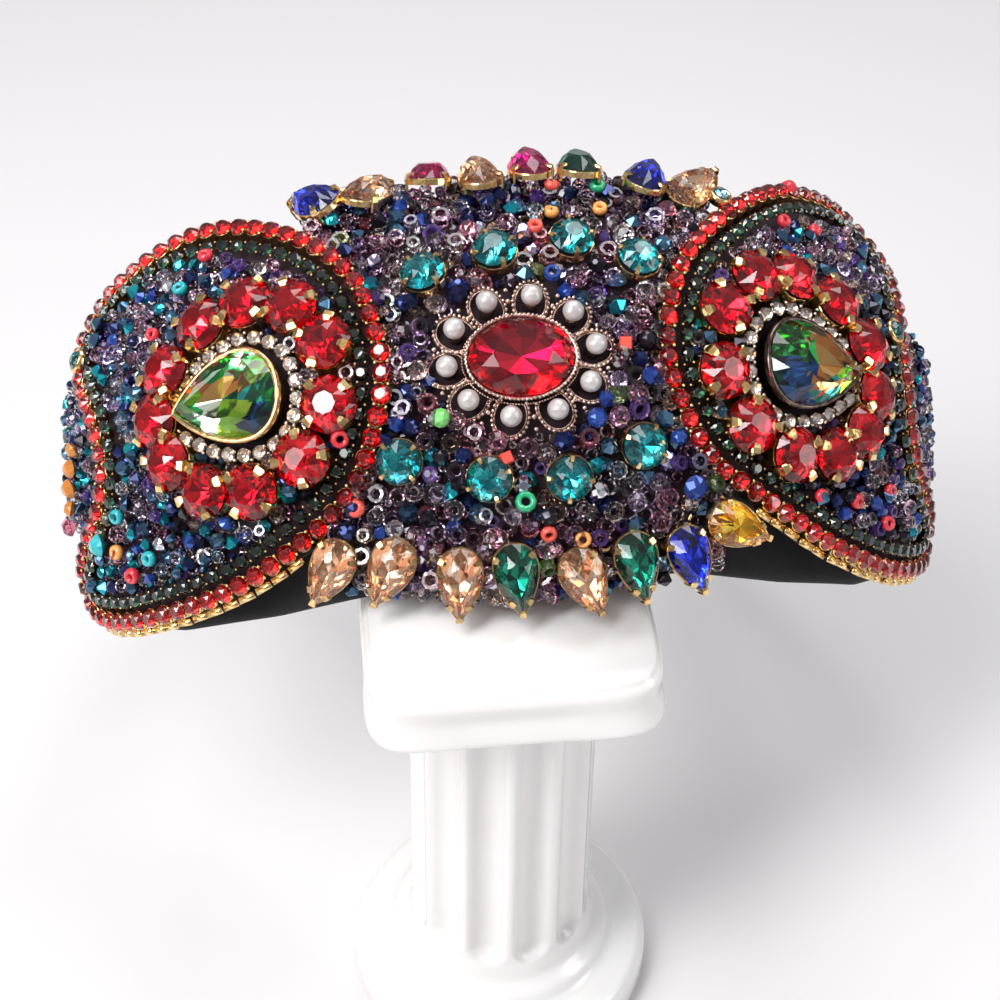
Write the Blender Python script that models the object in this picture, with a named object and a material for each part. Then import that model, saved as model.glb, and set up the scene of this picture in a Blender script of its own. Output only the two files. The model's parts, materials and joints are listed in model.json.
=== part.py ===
# Jeweled headband resting on a small fluted column.
# Row frame: origin at the centre of the column's foot, +Z up, -Y towards the front of the headband.
import bpy
import bmesh
import math
import numpy as np
from mathutils import Matrix, Vector

MM = 0.001

# ---------------------------------------------------------------- driving dimensions, millimetres
ARCH_HALF_WIDTH = 84.0      # half width of the band's outer line
ARCH_DEPTH = 60.0           # depth of the curved front part
LEG_RADIUS = 260.0          # the legs curve inwards on this radius
BAND_LENGTH_V = 158.0       # front to tips, measured in the band's own plane
BAND_TILT_DEG = 42.3        # how far the legs point down
BAND_X, BAND_Y, BAND_Z = 5.5, 15.2, 139.0   # front centre of the outer line
CROWN_LOW, CROWN_HIGH, CROWN_AT = 0.0035, 0.011, -5.0   # the outside is domed across its width

CORE_SKIN = -5.1            # core's outside below the nominal outside
PANEL_FOOT = -4.5           # underside of every panel
CENTER_TOP = 0.1            # outside of the centre bead field
SIDE_TOP = 0.7              # outside of the side bead fields
PANEL_GAP = 0.35            # air between pieces that meet
EDGE_BEYOND_CHAIN = 1.7     # panel edge past the red chain's middle line

RED_CHAIN_R = 1.5
DARK_CHAIN_R = 1.2
DARK_CHAIN_INSET = 3.35
CLEAR_CHAIN_R = 1.15

PEAR_LENGTH, PEAR_WIDTH, PEAR_HEIGHT = 19.6, 14.0, 7.0
PEAR_S, PEAR_W = 51.7, 0.1
PEAR_TURN_DEG = -8.0       # tip points back and this far down
BEZEL_WALL, BEZEL_HEIGHT = 0.8, 3.2
RING_STONES, RING_STONE_R, RING_STONE_H = 11, 4.0, 4.4
RING_ALONG, RING_ACROSS = 18.1, 16.0   # the ring is a little longer along the pear

OVAL_S, OVAL_W = -1.4, 2.9
OVAL_LENGTH, OVAL_WIDTH, OVAL_HEIGHT = 18.0, 13.0, 5.2
PEARL_R, PEARL_COUNT, PEARL_PHASE_DEG = 1.85, 10, 6.5
PEARL_ELLIPSE = (12.6, 9.9)
SETTING_ELLIPSE = (16.0, 13.2)

TEAL_R, TEAL_HEIGHT = 4.0, 4.6
DROP_LENGTH, DROP_WIDTH, DROP_HEIGHT = 13.0, 8.0, 4.6

COLUMN_HEIGHT = 102.8
COLUMN_FOOT_R = 30.3
SHAFT_R = 17.9
FLUTES, FLUTE_DEPTH = 12, 1.5
CAPITAL_HALF = 25.6

WEDGE_HALF_WIDTH, WEDGE_FRONT_Y, WEDGE_BACK_Y, WEDGE_TOP_Z, WEDGE_GAP = 11.0, 5.0, 21.5, 119.0, 1.2

# ---------------------------------------------------------------- short tables
# middle line of the red chain on each side panel; the two sides are hand made and differ a little
#             name            s_left  w_left  s_right  w_right
PANEL_EDGE = (("inner_mid",      24.9,   0.0,   24.0,    0.0),
              ("inner_high",     26.7,  11.4,   26.2,   11.6),
              ("inner_shoulder", 31.7,  19.9,   32.4,   20.3),
              ("top_front",      41.6,  26.4,   44.7,   27.8),
              ("top_mid",        54.9,  30.2,   60.3,   32.5),
              ("top_back",       69.6,  30.6,   76.0,   33.0),
              ("lobe_start",     83.7,  27.0,   88.5,   31.2),
              ("lobe_high",      96.0,  21.5,   95.5,   27.0),
              ("lobe_tip",      101.0,  14.6,   94.0,   20.5),
              ("lobe_under",     95.0,   7.4,   87.0,   13.5),
              ("waist_high",     87.5,   0.0,   81.0,    3.5),
              ("waist",          84.0,  -8.1,   80.4,   -6.5),
              ("waist_low",      87.0, -17.0,   83.0,  -17.0),
              ("flare",          96.5, -24.0,   91.5,  -24.5),
              ("heel_back",     103.5, -29.5,   99.0,  -30.5),
              ("heel_corner",   101.0, -35.0,   97.0,  -35.8),
              ("bottom_back",    88.5, -37.5,   88.6,  -37.5),
              ("bottom_mid",     72.5, -36.4,   73.4,  -36.7),
              ("bottom_front",   57.6, -33.2,   57.5,  -32.0),
              ("bottom_turn",    46.5, -28.5,   47.5,  -26.8),
              ("inner_low",      36.2, -21.9,   38.5,  -21.2),
              ("inner_turn",     29.5, -14.3,   30.0,  -14.6))

# outline of the centre panel, right half from top to bottom
#                name           s      w
CENTER_EDGE = (("top",         0.0,  35.5),
               ("top_side",   16.0,  35.4),
               ("top_out",    31.0,  34.4),
               ("top_corner", 42.0,  33.0),
               ("shoulder",   42.0,  31.0),
               ("neck_high",  37.0,  27.4),
               ("neck",       29.5,  22.0),
               ("waist_high", 24.0,  14.0),
               ("waist",      21.4,   1.0),
               ("waist_low",  24.0, -11.0),
               ("hip_high",   30.0, -19.6),
               ("hip",        35.5, -25.6),
               ("low_corner", 36.5, -30.5),
               ("low_out",    29.0, -33.6),
               ("low_side",   14.0, -34.4),
               ("bottom",      0.0, -34.6))

# end panel behind each side panel
#             name       s      w_low  w_high
END_PANEL = (("nose",    90.5, -13.0,  -4.0),
             ("front",   95.5, -18.0,   2.0),
             ("middle", 101.0, -22.0,   7.0),
             ("back",   109.0, -20.0,   9.0),
             ("rear",   116.0, -15.0,   7.0),
             ("end",    121.0,  -9.0,   1.0))
END_PANEL_RIGHT_SHIFT = -4.0

# edges and thickness of the padded core along one half
#             name         s      w_low  w_high  in_low  in_high
CORE_ROWS = (("front",      0.0, -35.0,   33.5,  12.0,   22.5),
             ("brow",      30.0, -35.5,   33.2,  12.0,   22.5),
             ("temple",    52.0, -38.6,   32.0,  12.0,   22.0),
             ("side",      78.0, -40.6,   30.5,  12.0,   20.5),
             ("behind",   104.0, -39.5,   25.5,  12.0,   18.0),
             ("leg_high", 130.0, -33.5,   19.5,  12.0,   15.0),
             ("leg",      158.0, -26.5,   14.5,  11.5,   13.0),
             ("leg_low",  186.0, -20.5,   10.5,  11.0,   12.0),
             ("tip",      214.0, -15.5,    7.5,  10.8,   11.4))

#            name              s      w
TEAL_ROWS = (("teal_stone_1", -17.6,  18.2),
             ("teal_stone_2",  -4.5,  21.4),
             ("teal_stone_3",  10.1,  22.9),
             ("teal_stone_4",  21.9,  19.0),
             ("teal_stone_5", -22.9, -13.0),
             ("teal_stone_6",  -8.2, -16.9),
             ("teal_stone_7",   5.3, -17.6),
             ("teal_stone_8",  18.4, -12.9))

# turn is the tip's direction, degrees from straight out, positive towards +X; lean tips the stone back
#            name              s      w    turn   lean   colour
TOP_DROPS = (("top_drop_1",   -40.3,  33.0,  -64.0,  18.0, "sapphire"),
             ("top_drop_2",   -28.8,  33.6,   26.0,  26.0, "champagne"),
             ("top_drop_3",   -16.2,  35.6,    5.0,  34.0, "magenta"),
             ("top_drop_4",    -6.1,  35.7,  -10.0,  21.0, "champagne"),
             ("top_drop_5",     4.7,  37.1,   -3.0,  20.0, "magenta"),
             ("top_drop_6",    15.1,  36.5,    7.0,  25.0, "emerald"),
             ("top_drop_7",    29.3,  34.2,   32.0,  15.0, "sapphire"),
             ("top_drop_8",    40.2,  32.8,   60.0,  -8.0, "champagne"))
BOTTOM_DROPS = (("bottom_drop_1", -36.6, -30.6, -146.0,  0.0, "champagne"),
                ("bottom_drop_2", -26.2, -31.2, -150.0,  0.0, "champagne"),
                ("bottom_drop_3", -14.2, -33.9, -175.0,  0.0, "champagne"),
                ("bottom_drop_4",  -4.4, -33.7,  174.0,  0.0, "emerald"),
                ("bottom_drop_5",   7.4, -34.9,  155.0,  0.0, "champagne"),
                ("bottom_drop_6",  16.6, -33.0,  167.0,  0.0, "emerald"),
                ("bottom_drop_7",  26.4, -32.4,  158.0,  0.0, "sapphire"),
                ("bottom_drop_8",  35.5, -27.3,  112.0,  0.0, "amber"))

# sections of the column: round below, square at the capital; flute is the channel's depth
#              name            z     radius  flute  square
COLUMN_ROWS = (("foot",        0.0,   29.6,  0.0,   0.0),
               ("foot_edge",   1.2,   30.3,  0.0,   0.0),
               ("disc_edge",   6.6,   30.3,  0.0,   0.0),
               ("disc_round",  8.8,   28.6,  0.0,   0.0),
               ("disc_top",    9.4,   23.0,  0.0,   0.0),
               ("ring",       12.0,   21.6,  0.0,   0.0),
               ("ring_top",   13.4,   18.9,  0.0,   0.0),
               ("land_low",   18.0,   17.9,  0.0,   0.0),
               ("flute_low",  21.0,   17.9,  1.0,   0.0),
               ("flute_top",  82.6,   17.5,  1.0,   0.0),
               ("neck",       87.6,   17.7,  0.0,   0.0),
               ("cap_under",  89.8,   23.6,  0.0,   1.0),
               ("cap_roll",   92.2,   25.9,  0.0,   1.0),
               ("cap_side",   97.3,   25.3,  0.0,   1.0),
               ("cap_top",   101.4,   25.6,  0.0,   1.0),
               ("cap_edge",  102.8,   24.2,  0.0,   1.0))

#            slot                 red    green  blue   rough  metal
PALETTE = {"velvet":           (0.020, 0.018, 0.022, 0.90, 0.0),
           "bead_field":       (0.200, 0.150, 0.300, 0.35, 0.0),
           "ruby_chain":       (0.520, 0.030, 0.035, 0.25, 0.0),
           "dark_chain":       (0.030, 0.090, 0.060, 0.25, 0.0),
           "ruby":             (0.600, 0.020, 0.030, 0.10, 0.0),
           "clear_chain":      (0.800, 0.780, 0.740, 0.15, 0.0),
           "gold":             (0.780, 0.560, 0.240, 0.30, 1.0),
           "antique_gold":     (0.360, 0.250, 0.120, 0.40, 1.0),
           "vitrail":          (0.150, 0.420, 0.180, 0.08, 0.0),
           "pearl":            (0.860, 0.820, 0.760, 0.30, 0.0),
           "teal":             (0.020, 0.400, 0.440, 0.10, 0.0),
           "sapphire":         (0.020, 0.050, 0.600, 0.10, 0.0),
           "champagne":        (0.780, 0.520, 0.300, 0.10, 0.0),
           "magenta":          (0.750, 0.030, 0.360, 0.10, 0.0),
           "emerald":          (0.010, 0.260, 0.130, 0.10, 0.0),
           "amber":            (0.800, 0.480, 0.030, 0.10, 0.0),
           "white_glaze":      (0.880, 0.870, 0.850, 0.20, 0.0)}


# ---------------------------------------------------------------- scene housekeeping
for old in list(bpy.data.objects):
    bpy.data.objects.remove(old, do_unlink=True)

parts = bpy.data.collections.new("jeweled_headband")
bpy.context.scene.collection.children.link(parts)


def material(node, slot):
    red, green, blue, rough, metal = PALETTE[slot]
    mat = bpy.data.materials.new(node + "_" + slot)
    mat.use_nodes = True
    bsdf = mat.node_tree.nodes["Principled BSDF"]
    bsdf.inputs["Base Color"].default_value = (red, green, blue, 1.0)
    bsdf.inputs["Roughness"].default_value = rough
    bsdf.inputs["Metallic"].default_value = metal
    return mat


def add_mesh(name, slot, verts, faces, smooth=False):
    mesh = bpy.data.meshes.new(name)
    mesh.from_pydata([(x * MM, y * MM, z * MM) for x, y, z in verts], [], faces)
    bm = bmesh.new()
    bm.from_mesh(mesh)
    bmesh.ops.recalc_face_normals(bm, faces=bm.faces)
    bmesh.ops.triangulate(bm, faces=[f for f in bm.faces if len(f.verts) > 3])
    bm.to_mesh(mesh)
    bm.free()
    for poly in mesh.polygons:
        poly.use_smooth = smooth
    obj = bpy.data.objects.new(name, mesh)
    obj.data.materials.append(material(name, slot))
    parts.objects.link(obj)
    return obj


# ---------------------------------------------------------------- the band's outside as a surface
def build_outer_line():
    theta = np.linspace(0.0, math.pi / 2, 3000)
    x = ARCH_HALF_WIDTH * np.sin(theta)
    v = ARCH_DEPTH * (1.0 - np.cos(theta))
    leg = np.linspace(ARCH_DEPTH, BAND_LENGTH_V + 40.0, 1500)[1:]
    x = np.concatenate([x, ARCH_HALF_WIDTH - (leg - ARCH_DEPTH) ** 2 / (2 * LEG_RADIUS)])
    v = np.concatenate([v, leg])
    s = np.concatenate([[0.0], np.cumsum(np.hypot(np.diff(x), np.diff(v)))])
    return s, x, v


LINE_S, LINE_X, LINE_V = build_outer_line()
HALF_LENGTH = float(np.interp(BAND_LENGTH_V, LINE_V, LINE_S))
TILT = math.radians(BAND_TILT_DEG)


def line_at(s):
    side = -1.0 if s < 0 else 1.0
    q = abs(s)
    x, v = np.interp(q, LINE_S, LINE_X), np.interp(q, LINE_S, LINE_V)
    e = 0.05
    dx = np.interp(q + e, LINE_S, LINE_X) - np.interp(max(q - e, 0.0), LINE_S, LINE_X)
    dv = np.interp(q + e, LINE_S, LINE_V) - np.interp(max(q - e, 0.0), LINE_S, LINE_V)
    size = math.hypot(dx, dv)
    return side * x, v, side * dv / size, -dx / size


def crown(w):
    return -(CROWN_HIGH if w > CROWN_AT else CROWN_LOW) * (w - CROWN_AT) ** 2


def in_plane(s, w, depth):
    """point at a depth inside the outer line, in the band's own plane shifted by w"""
    x, v, nx, nv = line_at(s)
    x, v = x - nx * depth, v - nv * depth
    return Vector((BAND_X + x,
                   BAND_Y + v * math.cos(TILT) + w * math.sin(TILT),
                   BAND_Z - v * math.sin(TILT) + w * math.cos(TILT)))


def on_skin(s, w):
    return in_plane(s, w, -crown(w))


def skin_frame(s, w):
    e = 0.2
    along = (on_skin(s + e, w) - on_skin(s - e, w)).normalized()
    across = (on_skin(s, w + e) - on_skin(s, w - e)).normalized()
    out = along.cross(across).normalized()
    if out.dot(in_plane(s, w, -1.0) - in_plane(s, w, 0.0)) < 0:
        out = -out
    across = (across - along * across.dot(along)).normalized()
    return along, across, out


def lifted(s, w, lift):
    return on_skin(s, w) + skin_frame(s, w)[2] * lift


# ---------------------------------------------------------------- 2-D curves in (s, w)
def smooth_loop(points, count):
    """closed Catmull-Rom curve through the points, evenly spaced"""
    n = len(points)
    dense = []
    for i in range(n):
        p0, p1, p2, p3 = (np.array(points[(i + k - 1) % n], float) for k in range(4))
        for t in np.linspace(0, 1, 24, endpoint=False):
            dense.append(0.5 * (2 * p1 + (p2 - p0) * t + (2 * p0 - 5 * p1 + 4 * p2 - p3) * t ** 2
                                + (3 * p1 - p0 - 3 * p2 + p3) * t ** 3))
    dense = np.array(dense + [dense[0]])
    run = np.concatenate([[0], np.cumsum(np.hypot(*np.diff(dense, axis=0).T))])
    at = np.linspace(0, run[-1], count, endpoint=False)
    return np.stack([np.interp(at, run, dense[:, 0]), np.interp(at, run, dense[:, 1])], 1)


def shifted_loop(loop, outwards):
    """the loop moved out (positive) or in by a distance"""
    nxt, prv = np.roll(loop, -1, 0), np.roll(loop, 1, 0)
    tangent = nxt - prv
    tangent /= np.hypot(tangent[:, 0], tangent[:, 1])[:, None]
    normal = np.stack([tangent[:, 1], -tangent[:, 0]], 1)
    area = 0.5 * np.sum(loop[:, 0] * nxt[:, 1] - nxt[:, 0] * loop[:, 1])
    return loop + normal * outwards * (1.0 if area > 0 else -1.0)


def panel_edge(side):
    column = 1 if side < 0 else 3
    return [(side * row[column], row[column + 1]) for row in PANEL_EDGE]


# ---------------------------------------------------------------- builders
def slab(name, slot, loop, centre, foot, top, rings=4):
    """plate over the band's skin: rings of shrunken outlines round a centre"""
    loop, centre = np.array(loop), np.array(centre)
    n = len(loop)
    verts, faces = [], []
    scales = [1.0 - k / rings for k in range(rings)]
    for lift in (foot, top):
        for scale in scales:
            for p in centre + (loop - centre) * scale:
                verts.append(tuple(lifted(p[0], p[1], lift)))
        verts.append(tuple(lifted(centre[0], centre[1], lift)))
    half = n * rings + 1
    for level in (0, 1):
        base = level * half
        for r in range(rings - 1):
            for i in range(n):
                j = (i + 1) % n
                faces.append((base + r * n + i, base + r * n + j, base + (r + 1) * n + j, base + (r + 1) * n + i))
        for i in range(n):
            faces.append((base + (rings - 1) * n + i, base + (rings - 1) * n + (i + 1) % n, base + rings * n))
    for i in range(n):
        j = (i + 1) % n
        faces.append((i, j, half + j, half + i))
    return add_mesh(name, slot, verts, faces)


def tube(name, slot, loop, radius, lift, sides_step=1):
    """closed cup chain as one tube along its true route"""
    curve = bpy.data.curves.new(name, "CURVE")
    curve.dimensions = "3D"
    spline = curve.splines.new("POLY")
    spline.points.add(len(loop) - 1)
    for point, (s, w) in zip(spline.points, loop):
        p = lifted(s, w, lift) * MM
        point.co = (p.x, p.y, p.z, 1.0)
    spline.use_cyclic_u = True
    curve.bevel_depth = radius * MM
    curve.bevel_resolution = sides_step
    obj = bpy.data.objects.new(name, curve)
    curve.materials.append(material(name, slot))
    parts.objects.link(obj)
    return obj


def ring_loft(name, slot, sections, closed_run, smooth=False):
    """loft a run of closed sections; the run closes on itself or gets end caps"""
    verts = [tuple(p) for section in sections for p in section]
    n, m = len(sections[0]), len(sections)
    faces = []
    for k in range(m if closed_run else m - 1):
        a, b = k * n, ((k + 1) % m) * n
        for i in range(n):
            j = (i + 1) % n
            faces.append((a + i, a + j, b + j, b + i))
    if not closed_run:
        faces.append(tuple(range(n)))
        faces.append(tuple(range((m - 1) * n, m * n)))
    return add_mesh(name, slot, verts, faces, smooth)


def pear_outline(length, width, count, point=0.9):
    """pear in the plane with its tip on +X"""
    t = np.linspace(0, 2 * math.pi, count, endpoint=False)
    half = np.abs(np.sin(t / 2)) ** point
    reach = np.max(np.sin(np.linspace(0, math.pi, 200)) * np.sin(np.linspace(0, math.pi, 200) / 2) ** point)
    return np.stack([length / 2 * np.cos(t), width / 2 * np.sin(t) * half / reach], 1)


def ellipse_outline(length, width, count):
    t = np.linspace(0, 2 * math.pi, count, endpoint=False)
    return np.stack([length / 2 * np.cos(t), width / 2 * np.sin(t)], 1)


def place(obj, s, w, lift, turn_deg, lean_deg=0.0):
    """stand an object on the skin: local +Z out, local +X turned from straight across (+w) towards +s"""
    along, across, out = skin_frame(s, w)
    turn = math.radians(turn_deg)
    tip = across * math.cos(turn) + along * math.sin(turn)
    lean = math.radians(lean_deg)
    tip, out = tip * math.cos(lean) - out * math.sin(lean), out * math.cos(lean) + tip * math.sin(lean)
    side = out.cross(tip)
    matrix = Matrix((tip, side, out)).transposed().to_4x4()
    matrix.translation = lifted(s, w, lift) * MM
    obj.location = matrix.to_translation()
    obj.rotation_euler = matrix.to_euler()
    return obj


#               height  scale     a cut stone from its foot to its table
STONE_LEVELS = ((0.00, 0.42),
                (0.34, 1.00),
                (0.46, 1.00),
                (1.00, 0.58))


def stone(name, slot, outline, height):
    sections = []
    for level, scale in STONE_LEVELS:
        sections.append([(x * scale, y * scale, level * height) for x, y in outline])
    return ring_loft(name, slot, sections, False)


# ---------------------------------------------------------------- padded core
def core_section(s, shrink):
    names = [row[1] for row in CORE_ROWS]
    w_low, w_high, in_low, in_high = (float(np.interp(abs(s), names, [row[k] for row in CORE_ROWS])) for k in (2, 3, 4, 5))
    points = []
    for w in np.linspace(w_low + 1.6, w_high - 1.0, 9):
        points.append(lifted(s, w, CORE_SKIN))
    top_out, low_out = points[-1], points[0]
    inner = []
    for k in np.linspace(1.0, 0.0, 5):
        w = w_low + 2.0 + (w_high - 3.4 - w_low - 2.0) * k
        inner.append(in_plane(s, w, in_low + (in_high - in_low) * k))
    top_mid = (top_out + inner[0]) / 2 + (in_plane(s, 1, 0) - in_plane(s, 0, 0)) * 1.0
    low_mid = (low_out + inner[-1]) / 2 - (in_plane(s, 1, 0) - in_plane(s, 0, 0)) * 1.8
    section = points + [top_mid] + inner + [low_mid]
    middle = sum(section, Vector()) / len(section)
    return [middle + (p - middle) * shrink for p in section]


runs = [(-HALF_LENGTH, 0.35), (-HALF_LENGTH + 1.2, 0.72), (-HALF_LENGTH + 4.0, 0.94)]
runs += [(s, 1.0) for s in np.linspace(-HALF_LENGTH + 9.0, HALF_LENGTH - 9.0, 43)]
runs += [(-s, k) for s, k in reversed(runs[:3])]
core = ring_loft("band_core", "velvet", [core_section(s, k) for s, k in runs], False, True)

# ---------------------------------------------------------------- centre panel
right_half = [(row[1], row[2]) for row in CENTER_EDGE]
left_half = [(-s, w) for s, w in reversed(right_half[1:-1])]
center_loop = smooth_loop(right_half + left_half, 46)
slab("center_panel", "bead_field", center_loop, (0.0, 0.5), PANEL_FOOT, CENTER_TOP)

# ---------------------------------------------------------------- side panels and what they carry
for side, word in ((-1, "left"), (1, "right")):
    edge = panel_edge(side)
    pear_s, pear_w = side * PEAR_S, PEAR_W
    outline = shifted_loop(smooth_loop(edge, 46), EDGE_BEYOND_CHAIN)
    slab(word + "_side_panel", "bead_field", outline, (side * 56.0, -0.5), PANEL_FOOT, SIDE_TOP)

    tube(word + "_red_chain", "ruby_chain", smooth_loop(edge, 46), RED_CHAIN_R, SIDE_TOP + PANEL_GAP + RED_CHAIN_R)
    inside = shifted_loop(smooth_loop(edge, 92), -DARK_CHAIN_INSET)
    tube(word + "_dark_chain", "dark_chain", smooth_loop(inside[::4], 42), DARK_CHAIN_R,
         SIDE_TOP + PANEL_GAP + DARK_CHAIN_R)

    shift = END_PANEL_RIGHT_SHIFT if side > 0 else 0.0
    low = [(side * (row[1] + shift), row[2]) for row in END_PANEL]
    high = [(side * (row[1] + shift), row[3]) for row in END_PANEL]
    end_loop = smooth_loop(low + high[::-1], 24)
    slab(word + "_end_panel", "bead_field", end_loop, (side * (105.0 + shift), -6.0), PANEL_FOOT, CENTER_TOP, 3)

    def from_pear(x, y, turn):
        """local pear plane to (s, w): x runs back along the band, y up"""
        c, k = math.cos(turn), math.sin(turn)
        return pear_s + side * (x * c - y * k), pear_w + x * k + y * c

    turn = math.radians(PEAR_TURN_DEG)
    floor = SIDE_TOP + PANEL_GAP
    around = pear_outline(PEAR_LENGTH, PEAR_WIDTH, 22)
    sections = []
    inner_line = shifted_loop(around, 0.35)
    outer_line = shifted_loop(around, 0.35 + BEZEL_WALL)
    for a, b in zip(inner_line, outer_line):
        sa, sb = from_pear(a[0], a[1], turn), from_pear(b[0], b[1], turn)
        sections.append([lifted(*sa, floor), lifted(*sb, floor),
                         lifted(*sb, floor + BEZEL_HEIGHT), lifted(*sa, floor + BEZEL_HEIGHT)])
    ring_loft(word + "_pear_bezel", "gold", sections, True)

    levels = []
    for level, scale in STONE_LEVELS:
        levels.append([lifted(*from_pear(x * scale, y * scale, turn), floor + 0.5 + level * PEAR_HEIGHT)
                       for x, y in around])
    ring_loft(word + "_pear_stone", "vitrail", levels, False)

    route = shifted_loop(pear_outline(PEAR_LENGTH + 0.6, PEAR_WIDTH + 0.4, 88), 0.35 + BEZEL_WALL + 0.35 + CLEAR_CHAIN_R)
    route = smooth_loop([tuple(p) for p in route[4::8]], 28)
    tube(word + "_clear_chain", "clear_chain", [from_pear(x, y, turn) for x, y in route], CLEAR_CHAIN_R,
         floor + CLEAR_CHAIN_R)

    #            swing  reach  height    half a stone of the ring, seen from its middle
    RING_WAVE = ((-0.5, 0.30, 0.26),
                 (-0.36, 0.62, 0.80),
                 (-0.16, 1.00, 1.00),
                 (0.16, 1.00, 1.00),
                 (0.36, 0.62, 0.80))
    sections = []
    for k in range(RING_STONES):
        for swing, reach, height in RING_WAVE:
            angle = 2 * math.pi * (k + 0.2 + swing) / RING_STONES
            c, n = math.cos(angle), math.sin(angle)
            middle = RING_ALONG * RING_ACROSS / math.hypot(RING_ACROSS * c, RING_ALONG * n)
            low_half, top_half = RING_STONE_R * reach, RING_STONE_R * reach * 0.7
            rows = ((middle - low_half, 0.0), (middle + low_half, 0.0),
                    (middle + top_half, RING_STONE_H * height), (middle - top_half, RING_STONE_H * height))
            sections.append([lifted(*from_pear(r * c, r * n, turn), floor + h) for r, h in rows])
    ring_loft(word + "_stone_ring", "ruby", sections, True)

# ---------------------------------------------------------------- oval stone, its setting and the pearls
floor = CENTER_TOP + PANEL_GAP
sections = []
for k in range(40):
    angle = 2 * math.pi * k / 40
    c, n = math.cos(angle), math.sin(angle)
    lobe = 1.0 + 0.05 * math.cos(PEARL_COUNT * angle)
    rows = ((SETTING_ELLIPSE[0] * lobe, SETTING_ELLIPSE[1] * lobe, 0.0),
            (SETTING_ELLIPSE[0] * lobe, SETTING_ELLIPSE[1] * lobe, 1.0),
            (OVAL_LENGTH / 2 + 1.1, OVAL_WIDTH / 2 + 1.1, 1.0),
            (OVAL_LENGTH / 2 + 1.1, OVAL_WIDTH / 2 + 1.1, 2.8),
            (OVAL_LENGTH / 2 + 0.35, OVAL_WIDTH / 2 + 0.35, 2.8),
            (OVAL_LENGTH / 2 + 0.35, OVAL_WIDTH / 2 + 0.35, 0.0))
    sections.append([lifted(OVAL_S + a * c, OVAL_W + b * n, floor + h) for a, b, h in rows])
ring_loft("oval_setting", "antique_gold", sections, True)

levels = []
for level, scale in STONE_LEVELS:
    levels.append([lifted(OVAL_S + x * scale, OVAL_W + y * scale, floor + level * OVAL_HEIGHT)
                   for x, y in ellipse_outline(OVAL_LENGTH, OVAL_WIDTH, 20)])
ring_loft("oval_stone", "ruby", levels, False)

for k in range(PEARL_COUNT):
    angle = 2 * math.pi * k / PEARL_COUNT + math.radians(PEARL_PHASE_DEG)
    s = OVAL_S + PEARL_ELLIPSE[0] * math.cos(angle)
    w = OVAL_W + PEARL_ELLIPSE[1] * math.sin(angle)
    mesh = bpy.data.meshes.new("pearl")
    bm = bmesh.new()
    bmesh.ops.create_uvsphere(bm, u_segments=10, v_segments=6, radius=PEARL_R * MM)
    bm.to_mesh(mesh)
    bm.free()
    for poly in mesh.polygons:
        poly.use_smooth = True
    name = "pearl_%02d" % (k + 1)
    mesh.materials.append(material(name, "pearl"))
    pearl = bpy.data.objects.new(name, mesh)
    parts.objects.link(pearl)
    place(pearl, s, w, floor + 1.0 + 0.3 + PEARL_R, 0.0)

# ---------------------------------------------------------------- teal stones and drops
for name, s, w in TEAL_ROWS:
    place(stone(name, "teal", ellipse_outline(2 * TEAL_R, 2 * TEAL_R, 10), TEAL_HEIGHT), s, w, CENTER_TOP + 0.45, 0.0)

for name, s, w, turn, lean, colour in TOP_DROPS + BOTTOM_DROPS:
    place(stone(name, colour, pear_outline(DROP_LENGTH, DROP_WIDTH, 10), DROP_HEIGHT), s, w, CENTER_TOP + 0.8, turn, lean)

# ---------------------------------------------------------------- the column and the block on top of it
def column_section(z, radius, flute, square):
    points = []
    for k in range(FLUTES * 3):
        angle = 2 * math.pi * (k + 0.5) / (FLUTES * 3)
        r = radius - (FLUTE_DEPTH * flute if k % 3 else 0.0)
        if square:
            c, n = abs(math.cos(angle)), abs(math.sin(angle))
            r = radius / (c ** 9 + n ** 9) ** (1 / 9)
        points.append(Vector((r * math.cos(angle), r * math.sin(angle), z)))
    return points


ring_loft("display_column", "white_glaze", [column_section(*row[1:]) for row in COLUMN_ROWS], False)

profile = []
face_low, face_high = in_plane(0, -33.0, 12.3), in_plane(0, 30.0, 22.5)
run = (face_high - face_low).normalized()
behind = Vector((0, run.z, -run.y))
base_z = COLUMN_HEIGHT + 0.3
start = face_low + behind * WEDGE_GAP
low = start + run * ((WEDGE_FRONT_Y - start.y) / run.y)
high = start + run * ((WEDGE_TOP_Z - start.z) / run.z)
corners = [(low.y, base_z), (WEDGE_BACK_Y, base_z), (WEDGE_BACK_Y, WEDGE_TOP_Z), (high.y, WEDGE_TOP_Z), (low.y, low.z)]
sections = [[Vector((BAND_X + x, y, z)) for y, z in corners] for x in (-WEDGE_HALF_WIDTH, WEDGE_HALF_WIDTH)]
ring_loft("rest_wedge", "white_glaze", sections, False)
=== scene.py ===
import bpy
import bmesh
import json
import math
import numpy as np
from mathutils import Vector, Matrix

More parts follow.
